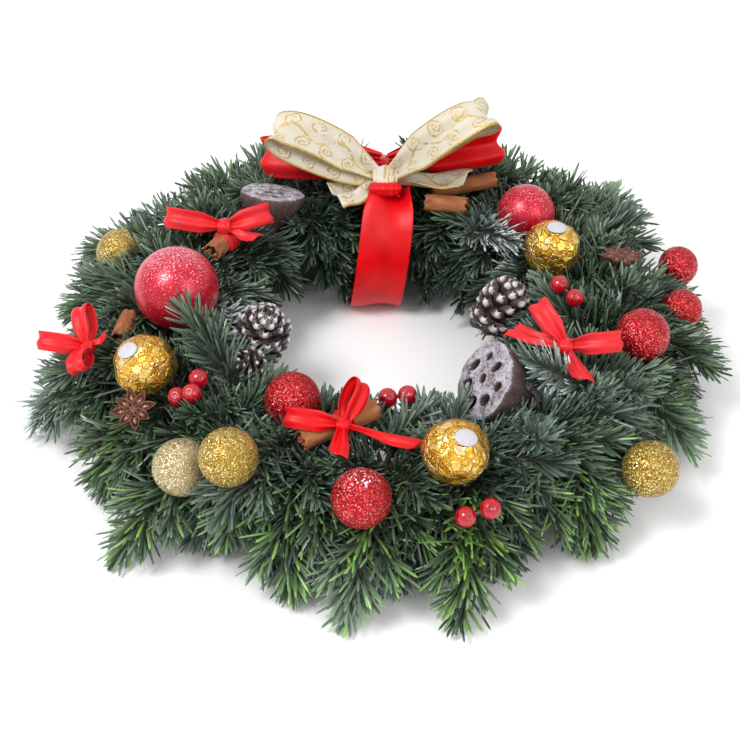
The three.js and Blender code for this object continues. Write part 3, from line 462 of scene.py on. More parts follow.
class Look:
    """A node material in the making."""

    def __init__(self, name, **settings):
        self.material = bpy.data.materials.new(name)
        self.material.use_nodes = True
        self.tree = self.material.node_tree
        self.shader = self.tree.nodes["Principled BSDF"]
        self.place = self.node("TexCoord").outputs["Object"]
        self.paint = self.node("SeparateColor", {"Color": self.attribute("paint")}).outputs
        self.set(**settings)

    def attribute(self, name):
        return self.node("Attribute", attribute_name=name).outputs["Color"]

    def node(self, kind, inputs=None, **settings):
        made = self.tree.nodes.new("ShaderNode" + kind)
        for key, value in settings.items():
            setattr(made, key, value)
        for key, value in (inputs or {}).items():
            self.put(made.inputs[key], value)
        return made

    def put(self, socket, value):
        if isinstance(value, bpy.types.NodeSocket):
            self.tree.links.new(value, socket)
        elif isinstance(value, tuple) and len(value) == 3 and socket.type == "RGBA":
            socket.default_value = (*value, 1)
        else:
            socket.default_value = value

    def set(self, **inputs):
        for key, value in inputs.items():
            self.put(self.shader.inputs[key.replace("_", " ").title().replace("Ior", "IOR")], value)

    def noise(self, size, detail=3, roughness=0.5):
        """Cloudy noise from 0 to 1, with lumps about size millimetres across."""
        inputs = {"Vector": self.place, "Scale": 1 / (size * MM), "Detail": detail}
        inputs["Roughness"] = roughness
        return self.node("TexNoise", inputs).outputs["Fac"]

    def cells(self, size):
        """A colour of its own for each small cell, about size millimetres across."""
        inputs = {"Vector": self.place, "Scale": 1 / (size * MM)}
        return self.node("TexVoronoi", inputs).outputs["Color"]

    def ramp(self, share, *stops):
        """A colour, or with numbers a value, that goes through the stops as share rises."""
        made = self.node("ValToRGB", {"Fac": share})
        line = made.color_ramp.elements
        while len(line) < len(stops):
            line.new(0.5)
        for element, (place, colour) in zip(line, stops):
            element.position = place
            element.color = (*colour, 1) if isinstance(colour, tuple) else (colour, colour, colour, 1)
        return made.outputs["Color"]

    def mix(self, share, a, b, blend="MIX"):
        made = self.node("Mix", data_type="RGBA", blend_type=blend)
        self.put(made.inputs[0], share)
        self.put(made.inputs[6], a)
        self.put(made.inputs[7], b)
        return made.outputs[2]

    def math(self, operation, a, b=0.0):
        return self.node("Math", {0: a, 1: b}, operation=operation).outputs[0]

    def add(self, a, b):
        return self.math("ADD", a, b)

    def times(self, a, b):
        return self.math("MULTIPLY", a, b)

    def above(self, a, b, soft=0.0):
        """1 where a is over b, or with soft a gradual change round b."""
        if not soft:
            return self.math("GREATER_THAN", a, b)
        inputs = {"Value": a, "From Min": b - soft, "From Max": b + soft}
        return self.node("MapRange", inputs).outputs[0]

    def bump(self, height, depth):
        """A relief of depth millimetres where height goes from 0 to 1."""
        inputs = {"Height": height, "Distance": depth * MM, "Strength": 1.0}
        self.put(self.shader.inputs["Normal"], self.node("Bump", inputs).outputs[0])

    def sparkle(self, size, spread):
        """Turns the surface of each small cell its own way, so that some of them flash."""
        random = self.node("VectorMath", {0: self.cells(size), 1: (0.5, 0.5, 0.5)}, operation="SUBTRACT")
        tilt = self.node("VectorMath", {0: random.outputs[0]}, operation="SCALE")
        tilt.inputs["Scale"].default_value = spread
        normal = self.node("NewGeometry").outputs["Normal"]
        total = self.node("VectorMath", {0: normal, 1: tilt.outputs[0]}, operation="ADD")
        whole = self.node("VectorMath", {0: total.outputs[0]}, operation="NORMALIZE")
        self.put(self.shader.inputs["Normal"], whole.outputs[0])


def mottled_look(name, size, dark, light, grain=None, relief=0.0, detail=3, **settings):
    """A skin that goes from dark to light in lumps about size millimetres across, and may have a
    relief of finer grain."""
    look = Look(name, **settings)
    look.set(base_color=look.ramp(look.noise(size), (0.3, dark), (0.7, light)))
    if grain:
        look.bump(look.noise(grain, detail=detail), relief)
    return look.material


def glitter_look(name, dark, middle, flash):
    """Glitter: tiny flakes, each with its own tone and tilt, the brightest few painted as glints. Red paint
    is white dust.
    """
    look = Look(name, metallic=0.55, roughness=0.28)
    tone = look.node("SeparateColor", {"Color": look.cells(FLAKE)}).outputs["Red"]
    # Each flake's tone runs from dark to middle, and the brightest few take a painted glint, the flash
    # colour.
    colour = look.ramp(tone, (0.0, dark), (0.45, middle), (0.8, middle), (0.97, flash))
    grain = look.node("SeparateColor", {"Color": look.cells(0.8)}).outputs["Green"]
    powder = look.above(look.add(look.paint["Red"], look.times(grain, 0.75)), 1.0, 0.05)
    look.set(base_color=look.mix(powder, colour, (0.86, 0.86, 0.9)))
    look.sparkle(FLAKE, 0.8)
    return look.material


def satin_ball_look():
    """Satin lacquer with fine pale specks, and white dust by the red paint."""
    look = Look("bauble_satin_red", metallic=0.3, roughness=0.3, coat_weight=0.15, coat_roughness=0.25)
    cloud = look.noise(14)
    colour = look.ramp(cloud, (0.3, (0.42, 0.002, 0.014)), (0.7, (0.55, 0.004, 0.028)))
    grain = look.noise(0.75, detail=2, roughness=0.6)
    veil = look.ramp(look.add(look.paint["Red"], look.times(look.noise(5), 0.25)), (0.45, 0.0), (1.1, 0.4))
    frosted = look.mix(veil, colour, (0.74, 0.16, 0.24))
    specks = look.above(look.add(grain, look.times(look.paint["Red"], 0.2)), 0.67, 0.03)
    look.set(base_color=look.mix(specks, frosted, (0.84, 0.42, 0.48)))
    look.bump(grain, 0.06)
    return look.material


def foil_look():
    """Crinkled gold foil: each small facet is painted its own tone, from amber to pale yellow, as painted
    reflection, with painted shade in amber creases.
    """
    look = Look("gold_foil", metallic=0.92, roughness=0.2)
    wander = look.node("TexNoise", {"Vector": look.place, "Scale": 300, "Detail": 3}).outputs["Color"]
    place = look.mix(0.005, look.place, wander)
    large, small = 240, 560
    cells = [look.node("TexVoronoi", {"Vector": place, "Scale": scale}) for scale in (large, small)]
    tones = [look.node("SeparateColor", {"Color": cell.outputs["Color"]}).outputs["Red"] for cell in cells]
    tone = look.add(look.times(tones[0], 0.6), look.times(tones[1], 0.4))
    edge = look.node("TexVoronoi", {"Vector": place, "Scale": large}, feature="DISTANCE_TO_EDGE")
    crease_relief_and_shade = look.ramp(edge.outputs["Distance"], (0.0, 0.0), (0.12, 1.0))
    # Painted reflection: each facet gets its own tone, from amber to pale yellow.
    colour = look.ramp(
        tone,
        (0.18, (0.62, 0.28, 0.02)),
        (0.36, (0.92, 0.57, 0.08)),
        (0.58, (1.0, 0.78, 0.22)),
        (0.8, (1.0, 0.93, 0.58)),
    )
    # Painted shade: amber along the creases at the facets' edges; the creases also make relief.
    look.set(base_color=look.mix(look.times(crease_relief_and_shade, 0.55), (0.62, 0.30, 0.03), colour))
    fine = look.noise(0.9, detail=4, roughness=0.7)
    look.bump(look.add(look.times(crease_relief_and_shade, 0.7), look.add(look.times(fine, 0.5), look.times(tone, 0.8))), 0.4)
    return look.material


def cone_look():
    """Dark wood; red paint says how near a scale's end is, which is whitened, and green is dust."""
    look = Look("cone_scale_wood", roughness=0.75)
    wood = look.ramp(look.noise(2.2), (0.25, (0.022, 0.012, 0.012)), (0.75, (0.10, 0.055, 0.045)))
    edge = look.add(look.paint["Red"], look.times(look.noise(1.6), 0.5))
    white = look.above(edge, 0.98, 0.13)
    grain = look.noise(1.1, detail=5, roughness=0.75)
    dusted = look.above(look.add(look.paint["Green"], look.times(grain, 0.9)), 0.86, 0.12)
    pale = look.mix(look.times(dusted, 0.8), wood, (0.50, 0.50, 0.56))
    look.set(base_color=look.mix(white, pale, (0.63, 0.60, 0.60)))
    look.bump(look.noise(0.7, detail=4), 0.2)
    return look.material


def pod_look():
    """Dried pod: red paint is painted shade, darker the deeper in a pit, green is how frosted it is."""
    look = Look("lotus_pod_skin", roughness=0.85)
    ribs = look.noise(1.2, detail=4, roughness=0.7)
    skin = look.ramp(ribs, (0.3, (0.030, 0.015, 0.017)), (0.72, (0.16, 0.10, 0.095)))
    fine = look.times(look.noise(1.0, detail=5, roughness=0.8), 0.75)
    grain = look.add(fine, look.times(look.noise(5), 0.5))
    frost = look.above(look.add(look.paint["Green"], grain), 1.25, 0.12)
    frosted = look.mix(frost, skin, (0.55, 0.54, 0.61))
    # Painted shade: the pits go near black with their depth.
    look.set(base_color=look.mix(look.paint["Red"], frosted, (0.012, 0.008, 0.008)))
    look.bump(ribs, 0.35)
    return look.material


def anise_look():
    look = Look("anise_husk", roughness=0.65)
    grain = look.noise(0.9, detail=4)
    look.set(base_color=look.ramp(grain, (0.3, (0.055, 0.016, 0.010)), (0.7, (0.21, 0.075, 0.042))))
    look.bump(grain, 0.25)
    return look.material


def berry_look():
    look = Look("berry_skin", roughness=0.13, coat_weight=0.45, coat_roughness=0.06)
    cloud = look.noise(3.5)
    red = look.ramp(cloud, (0.3, (0.30, 0.0, 0.008)), (0.75, (0.50, 0.002, 0.012)))
    look.set(base_color=look.mix(look.paint["Red"], red, (0.03, 0.006, 0.004)))
    look.bump(look.noise(1.2), 0.04)
    return look.material


def cinnamon_look():
    """Bark: green paint runs round the stick, blue along it, and streaks follow the stick."""
    look = Look("cinnamon_bark", roughness=0.8)
    around, along = look.paint["Green"], look.paint["Blue"]
    place = look.node("CombineXYZ", {"X": look.times(around, 14), "Y": look.times(along, 2.2)}).outputs[0]
    streaks = look.node("TexNoise", {"Vector": place, "Scale": 1.0, "Detail": 5.0}).outputs["Fac"]
    bark = look.ramp(
        streaks, (0.3, (0.12, 0.035, 0.012)), (0.5, (0.27, 0.085, 0.026)), (0.72, (0.46, 0.18, 0.06))
    )
    patches = look.ramp(look.noise(5), (0.35, 0.0), (0.65, 0.5))
    bark = look.mix(patches, bark, (0.36, 0.12, 0.04))
    look.set(base_color=look.mix(look.times(look.paint["Red"], 0.75), bark, (0.14, 0.05, 0.02)))
    look.bump(look.add(streaks, look.times(look.noise(0.8), 0.4)), 0.3)
    return look.material


def satin_look(name):
    """Red satin: red paint runs across the ribbon, green along it and blue is how white it is dusted."""
    look = Look(name, roughness=0.34, sheen_weight=0.04, sheen_roughness=0.4, specular_ior_level=0.26)
    look.set(anisotropic=0.5)
    across, along = look.paint["Red"], look.paint["Green"]
    threads = look.node("CombineXYZ", {"X": look.times(across, 4), "Y": look.times(along, 900)}).outputs[0]
    weave = look.node("TexNoise", {"Vector": threads, "Scale": 1.0, "Detail": 2.0}).outputs["Fac"]
    cloud = look.noise(9)
    red = look.ramp(cloud, (0.3, (0.56, 0.0, 0.003)), (0.7, (0.76, 0.001, 0.005)))
    red = look.mix(look.times(weave, 0.3), red, (0.42, 0.0, 0.003))
    powder = look.noise(0.7, detail=3, roughness=0.7)
    white = look.above(look.add(look.paint["Blue"], look.times(powder, 0.75)), 0.86, 0.05)
    pink = look.mix(look.times(look.paint["Blue"], 0.3), red, (0.85, 0.22, 0.25))
    look.set(base_color=look.mix(look.times(white, 0.75), pink, (0.90, 0.66, 0.66)))
    look.bump(weave, 0.05)
    return look.material


def gold_curls(look, across, along, middle, shift):
    """Small spirals in a row along the ribbon, at a share of its width, each a little out of shape."""
    wobble = [look.times(look.add(look.noise(size), -0.5), CURL["wobble"]) for size in (7, 9)]
    y = look.add(look.times(look.add(across, -middle), CREAM_WIDE), wobble[0])
    step = look.math("FRACT", look.add(look.times(along, PAINT_LENGTH / CURL["apart"]), shift))
    x = look.add(look.times(look.add(step, -0.5), CURL["apart"]), wobble[1])
    reach = look.math("SQRT", look.add(look.times(x, x), look.times(y, y)))
    turn = look.times(look.math("ARCTAN2", y, x), 0.5 / math.pi)
    arm = look.math("FRACT", look.add(look.times(reach, 1 / CURL["pitch"]), turn))
    inside = look.math("LESS_THAN", reach, CURL["reach"])
    return look.times(look.math("LESS_THAN", arm, CURL["line"]), inside)


def gold_stem(look, across, along):
    """The waving line that the curls grow from."""
    wave = look.times(look.math("SINE", look.times(along, PAINT_LENGTH * math.pi / CURL["apart"])), 0.13)
    away = look.math("ABSOLUTE", look.math("SUBTRACT", look.add(across, -0.5), wave))
    return look.math("LESS_THAN", away, 0.025)


def cream_look():
    """Cream ribbon with gold curls and gold edges: red paint runs across it, green along it."""
    look = Look("cream_ribbon", roughness=0.5, sheen_weight=0.3)
    across, along = look.paint["Red"], look.paint["Green"]
    curls = look.add(gold_curls(look, across, along, 0.26, 0.0), gold_curls(look, across, along, 0.74, 0.5))
    printed = look.above(look.noise(3), 0.42, 0.06)
    drawn = look.add(curls, gold_stem(look, across, along))
    pattern = look.times(look.math("MINIMUM", drawn, 0.85), printed)
    edge = look.above(look.math("ABSOLUTE", look.add(across, -0.5)), 0.452, 0.006)
    place = look.node("CombineXYZ", {"X": look.times(across, 60), "Y": look.times(along, 300)}).outputs[0]
    weave = look.node("TexNoise", {"Vector": place, "Scale": 1.0, "Detail": 1.0}).outputs["Fac"]
    cloth = look.ramp(weave, (0.3, (0.44, 0.39, 0.29)), (0.7, (0.62, 0.57, 0.46)))
    cloth = look.mix(look.ramp(look.noise(7), (0.4, 0.0), (0.7, 0.35)), cloth, (0.66, 0.63, 0.55))
    gold = look.ramp(look.noise(1.0), (0.3, (0.36, 0.22, 0.03)), (0.7, (0.62, 0.44, 0.10)))
    share = look.math("MAXIMUM", pattern, edge)
    look.set(base_color=look.mix(share, cloth, gold), metallic=look.times(share, 0.5))
    look.bump(look.add(weave, share), 0.07)
    return look.material


def tape_look():
    look = Look("green_tape_with_painted_shade", roughness=0.75)
    crepe = look.noise(0.6, detail=4, roughness=0.7)
    # Darker than the tape's own dark green, near black, as painted shade in the gaps between the sprays.
    look.set(base_color=look.ramp(crepe, (0.3, (0.003, 0.009, 0.004)), (0.7, (0.012, 0.028, 0.013))))
    look.bump(crepe, 0.2)
    return look.material


# ---------------------------------------------------------------- ornaments

CAP = mottled_look(
    "bauble_cap_metal", 2, (0.55, 0.40, 0.14), (0.75, 0.58, 0.25), 0.6, 0.03, metallic=1.0, roughness=0.3
)
WIRE = mottled_look(
    "green_wire", 3, (0.03, 0.05, 0.03), (0.07, 0.09, 0.05), 0.5, 0.02, metallic=0.4, roughness=0.5
)
BALLS = {
    "red_satin_ball": satin_ball_look(),
    "red_glitter": glitter_look(
        "glitter_red", dark=(0.07, 0.0, 0.003), middle=(0.46, 0.002, 0.008), flash=(0.92, 0.2, 0.19)
    ),
    "gold_glitter": glitter_look(
        "glitter_gold", dark=(0.10, 0.05, 0.004), middle=(0.40, 0.25, 0.035), flash=(1.0, 0.86, 0.42)
    ),
    "pale_glitter": glitter_look(
        "glitter_pale", dark=(0.20, 0.14, 0.05), middle=(0.46, 0.37, 0.185), flash=(1.0, 0.93, 0.70)
    ),
}


def bauble(name, at, radius, finish, dust):
    """A ball with a scalloped metal cap on its straw side, held by a wire."""
    place = polar(at)
    dice = np.random.default_rng(int(radius * 10 + at[0]))
    ways, faces = FINE_BALL
    glitter = finish != "red_satin_ball"
    rough = dice.uniform(-0.07, 0.07, len(ways)) if glitter else np.zeros(len(ways))
    above = ways @ unit((-0.1, 0.35, 0.9))
    paint = np.zeros((len(ways), 3))
    paint[:, 0] = dust * smooth_step(-0.1, 1.0, above)
    shell = Shell()
    shell.add(place + ways * (radius + rough)[:, None], faces, 0, paint)
    cap = 0.24 * radius + 1
    profile = [(0, 0), (cap * 0.5, 0), (cap, -0.4), (cap * 1.02, -2.6), (cap * 0.9, -2.6), (0, -2.2)]
    points, faces = turned(profile, 48, 0.05, 12)
    down = unit(straw_middle(place) - place)
    shell.add(place + down * (radius + 1.2) + points @ basis(down), faces, 1)
    shell.add_pick(place, 2)
    make_piece(name.replace("bauble", "ball"), shell, [BALLS[finish], CAP, WIRE], [name], not glitter)


def crumpled(ways, dice):
    """How far a ball of crumpled foil reaches each way: flat facets, with small creases on them."""
    near = np.full(len(ways), 1.03)
    for count, low, high in ((95, 0.925, 1.0), (420, 0.965, 1.03)):
        normals = unit(dice.normal(size=(count, 3)))
        reach = dice.uniform(low, high, count)
        near = np.minimum(near, (reach / np.maximum(ways @ normals.T, 0.05)).min(axis=1))
    return near


def foil_sweet(name, at, facing):
    """Foil round a ball, smooth under its seal and gathered into pleats below."""
    place, turn = polar(at), basis(facing)
    dice = np.random.default_rng(int(at[0]))
    ways, faces = FINEST_BALL
    near = crumpled(ways, dice)
    rise = ways[:, 2]
    near += (1.0 - near) * smooth_step(0.86, 0.95, rise)
    pleats = np.cos(26 * np.arctan2(ways[:, 1], ways[:, 0])) * smooth_step(-0.1, -0.7, rise)
    near += 0.022 * pleats + 0.05 * smooth_step(-0.55, -0.95, rise)
    shell = Shell()
    shell.add(place + (ways * near[:, None] * SWEET) @ turn, faces)
    shell.add_pick(place, 1)
    make_piece("sweet_" + name, shell, [FOIL, WIRE], ["foil_sweet_" + name], smooth=False)

    rows, columns = 12, 64
    share = np.linspace(0, 1, rows)[:, None]
    a = 2 * np.pi * np.arange(columns + 1) / columns
    x, y = SEAL[0] * share * np.cos(a), SEAL[1] * share * np.sin(a)
    dome = np.sqrt((SWEET + 0.4) ** 2 - x**2 - y**2)
    top = np.stack([x, y, dome + SEAL[2] * (1 - 0.5 * share**6)], axis=-1)
    shell = Shell()
    points = np.concatenate([top[:, :-1].reshape(-1, 3), [(0, 0, dome[0, 0])]])
    sides = grid_faces(rows, columns, closed=True)
    last = (rows - 1) * columns
    sides += [(last + j, len(points) - 1, last + (j + 1) % columns) for j in range(columns)]
    sides = [tuple(reversed(face)) for face in sides]
    shell.add(place + points @ turn, sides)
    make_piece("seal_" + name, shell, [SEAL_PAPER], ["paper_seal_" + name])


def cone_scale(length, width, cup, thick, rows=9, columns=7):
    """A woody scale along local X: narrow at its root, rounded and thickened at its end."""
    s = np.linspace(0, 1, rows)[:, None]
    u = np.linspace(-1, 1, columns)[None, :]
    rounded = np.sqrt(1 - np.clip((s - 0.66) / 0.36, 0, 1) ** 2)
    wide = width / 2 * (0.35 + 0.65 * smooth_step(0, 0.6, s)) * rounded
    x = length * s * np.ones_like(u)
    y = wide * u
    middle = cup * u**2 * s + length * 0.16 * s**2.5
    half = thick / 2 * (0.5 + 0.9 * smooth_step(0.5, 0.95, s)) * (1 - 0.5 * u**2)
    top = np.stack([x, y, middle + half], axis=-1)
    bottom = np.stack([x, y, middle - half], axis=-1)
    points, faces = slab(top, bottom)
    ends = np.tile(smooth_step(0.5, 1.0, s) * (1 - 0.4 * u**2), (2, 1, 1)).ravel()
    return points, faces, np.stack([ends, ends * 0, ends * 0], axis=1)


def pine_cone(name, at, radius, length, axis, count, dust):
    """Woody scales on a spiral, wide open in the middle and closing to the tip."""
    place, turn = polar(at), basis(axis)
    dice = np.random.default_rng(int(at[0]))
    shell = Shell()
    core = [(0, -0.5), (0.18, -0.46), (0.34, -0.3), (0.36, 0.0), (0.26, 0.28), (0.12, 0.44), (0, 0.48)]
    profile = [(r * radius, z * length) for r, z in core]
    points, faces = turned(profile, 20)
    shell.add(place + points @ turn, faces)
    for i in range(count):
        rise = (i + 0.5) / count
        out = radius * math.sin(math.pi * (0.2 + 0.72 * rise)) ** 0.75
        a = i * GOLDEN
        around = np.array([math.cos(a), math.sin(a), 0])
        root = around * 0.12 * radius + UP * (length * (rise - 0.5) * 0.82 - 1)
        lift = math.radians(-4 + 62 * rise**1.3 + 6 * dice.normal())
        way = around * math.cos(lift) + UP * math.sin(lift)
        size = out * (0.98 + 0.05 * dice.normal())
        wide = radius * (0.64 - 0.22 * rise)
        points, faces, paint = cone_scale(size - 0.1 * radius, wide, 0.12 * radius, 0.11 * radius)
        across = np.cross(UP, around)
        local = np.array([way, across, np.cross(way, across)])
        shell.add(place + (root + points @ local) @ turn, faces, 0, paint + (0, dust, 0))
    shell.add_pick(place, 1)
    make_piece(name.replace("cone", "pine_cone"), shell, [CONE_WOOD, WIRE], [name])


def lotus_pod(name, at, radius, depth, facing, pits):
    """A dried pod: a funnel with ribs, whose frosted face has a deep pit for each seed."""
    place, turn = polar(at), basis(facing)
    rows, columns = 70, 180
    a = 2 * np.pi * np.arange(columns) / columns
    wave = 1 + 0.02 * np.cos(5 * a + 1) + 0.013 * np.cos(11 * a)
    reach = np.linspace(0.01, 0.98, rows)[:, None] * radius
    x, y = reach * wave * np.cos(a), reach * wave * np.sin(a)
    z = 1.4 - 1.2 * (reach / radius) ** 2 + 0.12 * np.cos(3 * a) + 0 * x
    hollow = np.zeros_like(x)
    for px, py, long, wide in pits:
        dx, dy = x / radius - px, y / radius - py
        away = np.sqrt((dx / long) ** 2 + (dy / wide) ** 2) / PIT_GROWTH
        hollow = np.maximum(hollow, 1 - smooth_step(0.72, 1.0, away))
        z = z + 0.35 * np.exp(-(((away - 1.15) / 0.2) ** 2))
    face = np.stack([x, y, z - 5 * hollow], axis=-1)
    # Red paint: painted shade, darker the deeper in a pit.
    paint = np.stack([smooth_step(0.25, 0.9, hollow), 0.62 - 0.6 * hollow, hollow * 0], axis=-1)
    ribs = np.cos(13 * a)
    side = [(1.0, 0.1, 0.5), (1.005, -1.2, 0.4), (0.97, -3.5, 0.2), (0.88, -0.25 * depth, 0.1),
            (0.72, -0.4 * depth, 0.05), (0.5, -0.56 * depth, 0), (0.3, -0.7 * depth, 0),
            (0.2, -0.84 * depth, 0), (0.15, -depth, 0)]
    rings, tones = [], []
    for share, height, frost in side:
        out = radius * share * (wave + 0.028 * ribs * (share < 0.99))
        rings.append(np.stack([out * np.cos(a), out * np.sin(a), height + 0 * a], axis=-1))
        tones.append(np.stack([0 * a, frost + 0 * a, 0 * a], axis=-1))
    points = np.concatenate([face.reshape(-1, 3), *rings, [(0, 0, 1.4), (0, 0, -depth)]])
    tones = np.concatenate([paint.reshape(-1, 3), *tones, [(0, 0.6, 0), (0, 0, 0)]])
    count = rows + len(side)
    middle, foot = count * columns, count * columns + 1
    faces = [tuple(reversed(quad)) for quad in grid_faces(count, columns, closed=True)]
    last = (count - 1) * columns
    for j in range(columns):
        k = (j + 1) % columns
        faces += [(j, k, middle), (last + k, last + j, foot)]
    shell = Shell()
    shell.add(place + points @ turn, faces, 0, tones)
    ways, seeds = SMALL_BALL
    for px, py, long, wide in pits:
        seed = ways * (long * 0.72 * radius, wide * 0.72 * radius, 1.6)
        # The seeds in the pits take the same painted shade.
        shell.add(place + (seed + (px * radius, py * radius, -3.2)) @ turn, seeds, 0, (0.7, 0, 0))
    way = unit(facing)
    shell.add_pick(place + way * (3 - depth), 1)
    make_piece(name.replace("lotus", "seed"), shell, [POD_SKIN, WIRE], [name])


def star_anise(name, at, radius, facing):
    """Eight woody boats round one middle, each split open along its top over a glossy seed."""
    place, turn = polar(at), basis(facing)
    shell = Shell()
    hub = [(0, -2), (1.6, -1.6), (2.2, 0), (1.4, 1.2), (0, 1.4)]
    points, faces = turned(hub, 16)
    shell.add(place + points @ turn, faces)
    s = np.linspace(0, 1, 15)[:, None]
    u = np.linspace(-1, 1, 11)[None, :]
    for i in range(8):
        length = radius * (0.88 if i % 2 else 1)
        swell = np.sin(np.pi * np.clip(s, 0.04, 0.97) ** 0.85) ** 0.8
        wide, deep = 0.21 * radius * swell + 0.15, 3.4 * swell + 0.3
        lip = 1.3 + 0.5 * s**2 - 0.8 * (1 - s) ** 3
        x, y = length * s + 0 * u, wide * np.sign(u) * np.abs(u) ** 0.7
        z = lip - deep * (1 - np.abs(u) ** 2.2)
        outer = np.stack([x, y, z], axis=-1)
        inner = np.stack([x, y * 0.78, np.minimum(z + 0.7, lip + 0 * u)], axis=-1)
        points, faces = slab(inner, outer)
        a = 2 * np.pi * i / 8 + 0.2
        spin = np.array([[math.cos(a), math.sin(a), 0], [-math.sin(a), math.cos(a), 0], [0, 0, 1]])
        shell.add(place + points @ spin @ turn, faces)
        ways, seeds = SMALL_BALL
        seed = ways * (1.9, 1.15, 1.0) + (0.52 * length, 0, 0.2)
        shell.add(place + seed @ spin @ turn, seeds, 1)
    shell.add_pick(place, 2)
    make_piece(name.replace("star_", ""), shell, [ANISE_HUSK, ANISE_SEED, WIRE], [name])


def berry_group(name, berries):
    """Glossy berries, each with a dark dimple, on one wire."""
    places = [polar(berry) for berry in berries]
    shell = Shell()
    ways, faces = ball_points(5)
    for i, place in enumerate(places):
        tip = unit((0.3 * math.cos(2.1 * i), -0.6, 0.75))
        near = ways @ tip
        dimple = smooth_step(0.955, 1.0, near)
        points = ways * (BERRY * (1 - 0.12 * dimple))[:, None]
        paint = np.stack([smooth_step(0.985, 0.996, near), near * 0, near * 0], axis=1)
        shell.add(place + points, faces, 0, paint)
    shell.add(*tube(np.linspace(places[0], places[-1], 9), [PICK] * 9, 8), 1)
    if len(places) > 2:
        shell.add(*tube(np.linspace(places[1], places[0], 5), [PICK] * 5, 8), 1)
    shell.add_pick(places[0], 1)
    make_piece("berry" + name[7:], shell, [BERRY_SKIN, WIRE], [name])


def cinnamon_section(radius, bark):
    """The outline of a quill of bark: a round back, and both edges rolled in on themselves."""
    back = np.radians(np.linspace(-112, 112, 31))
    middle = [(radius * math.sin(t), radius * math.cos(t), t) for t in back]
    small = 0.47 * radius
    for t in np.linspace(0.08, 1, 22):
        turn = math.radians(112 + 330 * t)
        r = small * (1 - 0.62 * t)
        centre = (radius - small) * np.array([math.sin(back[-1]), math.cos(back[-1])])
        middle.append((centre[0] + r * math.sin(turn), centre[1] + r * math.cos(turn), turn))
    right = np.array(middle[15:])
    left = right[:0:-1] * (-1, 1, -1)
    line = np.concatenate([left, right])
    normal = np.stack([np.sin(line[:, 2]), np.cos(line[:, 2])], axis=1)
    return line[:, :2], line[:, :2] - normal * bark


def cinnamon_stick(name, start, end, radius):
    start, end = polar(start), polar(end)
    length = np.linalg.norm(end - start)
    middle = (start + end) / 2
    turn = basis(end - start, np.cross(end - start, middle - straw_middle(middle)))
    if (unit(middle - straw_middle(middle)) @ turn[1]) < 0:
        turn = turn * np.array([[-1], [-1], [1]])
    outer, inner = cinnamon_section(radius, 0.9)
    dice = np.random.default_rng(int(length * 10))
    rows = 26
    rough = 1 + 0.012 * dice.normal(size=(rows, len(outer), 1))
    bend = 0.35 * np.sin(np.linspace(0, 2.6, rows))[:, None]
    layers = []
    for line in (outer, inner):
        rings = np.zeros((rows, len(line), 3))
        rings[:, :, :2] = line * rough
        rings[:, :, 0] += bend
        ragged = 0.5 * np.sin(np.arange(len(line)) * 0.9)[None, :]
        along = np.linspace(0, length, rows)[:, None]
        rings[:, :, 2] = along + ragged * (np.abs(along / length - 0.5) * 2) ** 8
        layers.append(rings)
    points, faces = slab(*layers)
    shape = (rows, len(outer))
    around = np.broadcast_to(np.linspace(0, 1, shape[1])[None, :], shape)
    along = np.broadcast_to(np.linspace(0, 1, rows)[:, None], shape)
    sides = [np.stack([around * 0 + deep, around, along], axis=-1).reshape(-1, 3) for deep in (0, 1)]
    shell = Shell()
    shell.add(start + points @ turn, faces, 0, np.concatenate(sides))
    side = unit(middle - straw_middle(middle))
    shell.add_pick(middle + side * (0.6 - radius), 1)
    make_piece(name.replace("cinnamon", "bark"), shell, [CINNAMON, WIRE], [name])


FOIL = foil_look()
SEAL_PAPER = mottled_look(
    "seal_paper", 0.8, (0.42, 0.41, 0.45), (0.52, 0.51, 0.55), 0.4, 0.03, detail=4, roughness=0.55
)
CONE_WOOD = cone_look()
POD_SKIN = pod_look()
ANISE_HUSK = anise_look()
ANISE_SEED = mottled_look(
    "anise_seed", 1.5, (0.10, 0.03, 0.01), (0.22, 0.08, 0.03), roughness=0.15, coat_weight=0.6
)
BERRY_SKIN = berry_look()
CINNAMON = cinnamon_look()

for item in BAUBLES:
    bauble(*item)
for item in SWEETS:
    foil_sweet(*item)
for item in CONES:
    pine_cone(*item)
for item in PODS:
    lotus_pod(*item)
for item in ANISE:
    star_anise(*item)
for node, berries in BERRIES.items():
    berry_group(node, berries)
for node, stick in STICKS.items():
    cinnamon_stick(node, *stick)


# ---------------------------------------------------------------- ribbons


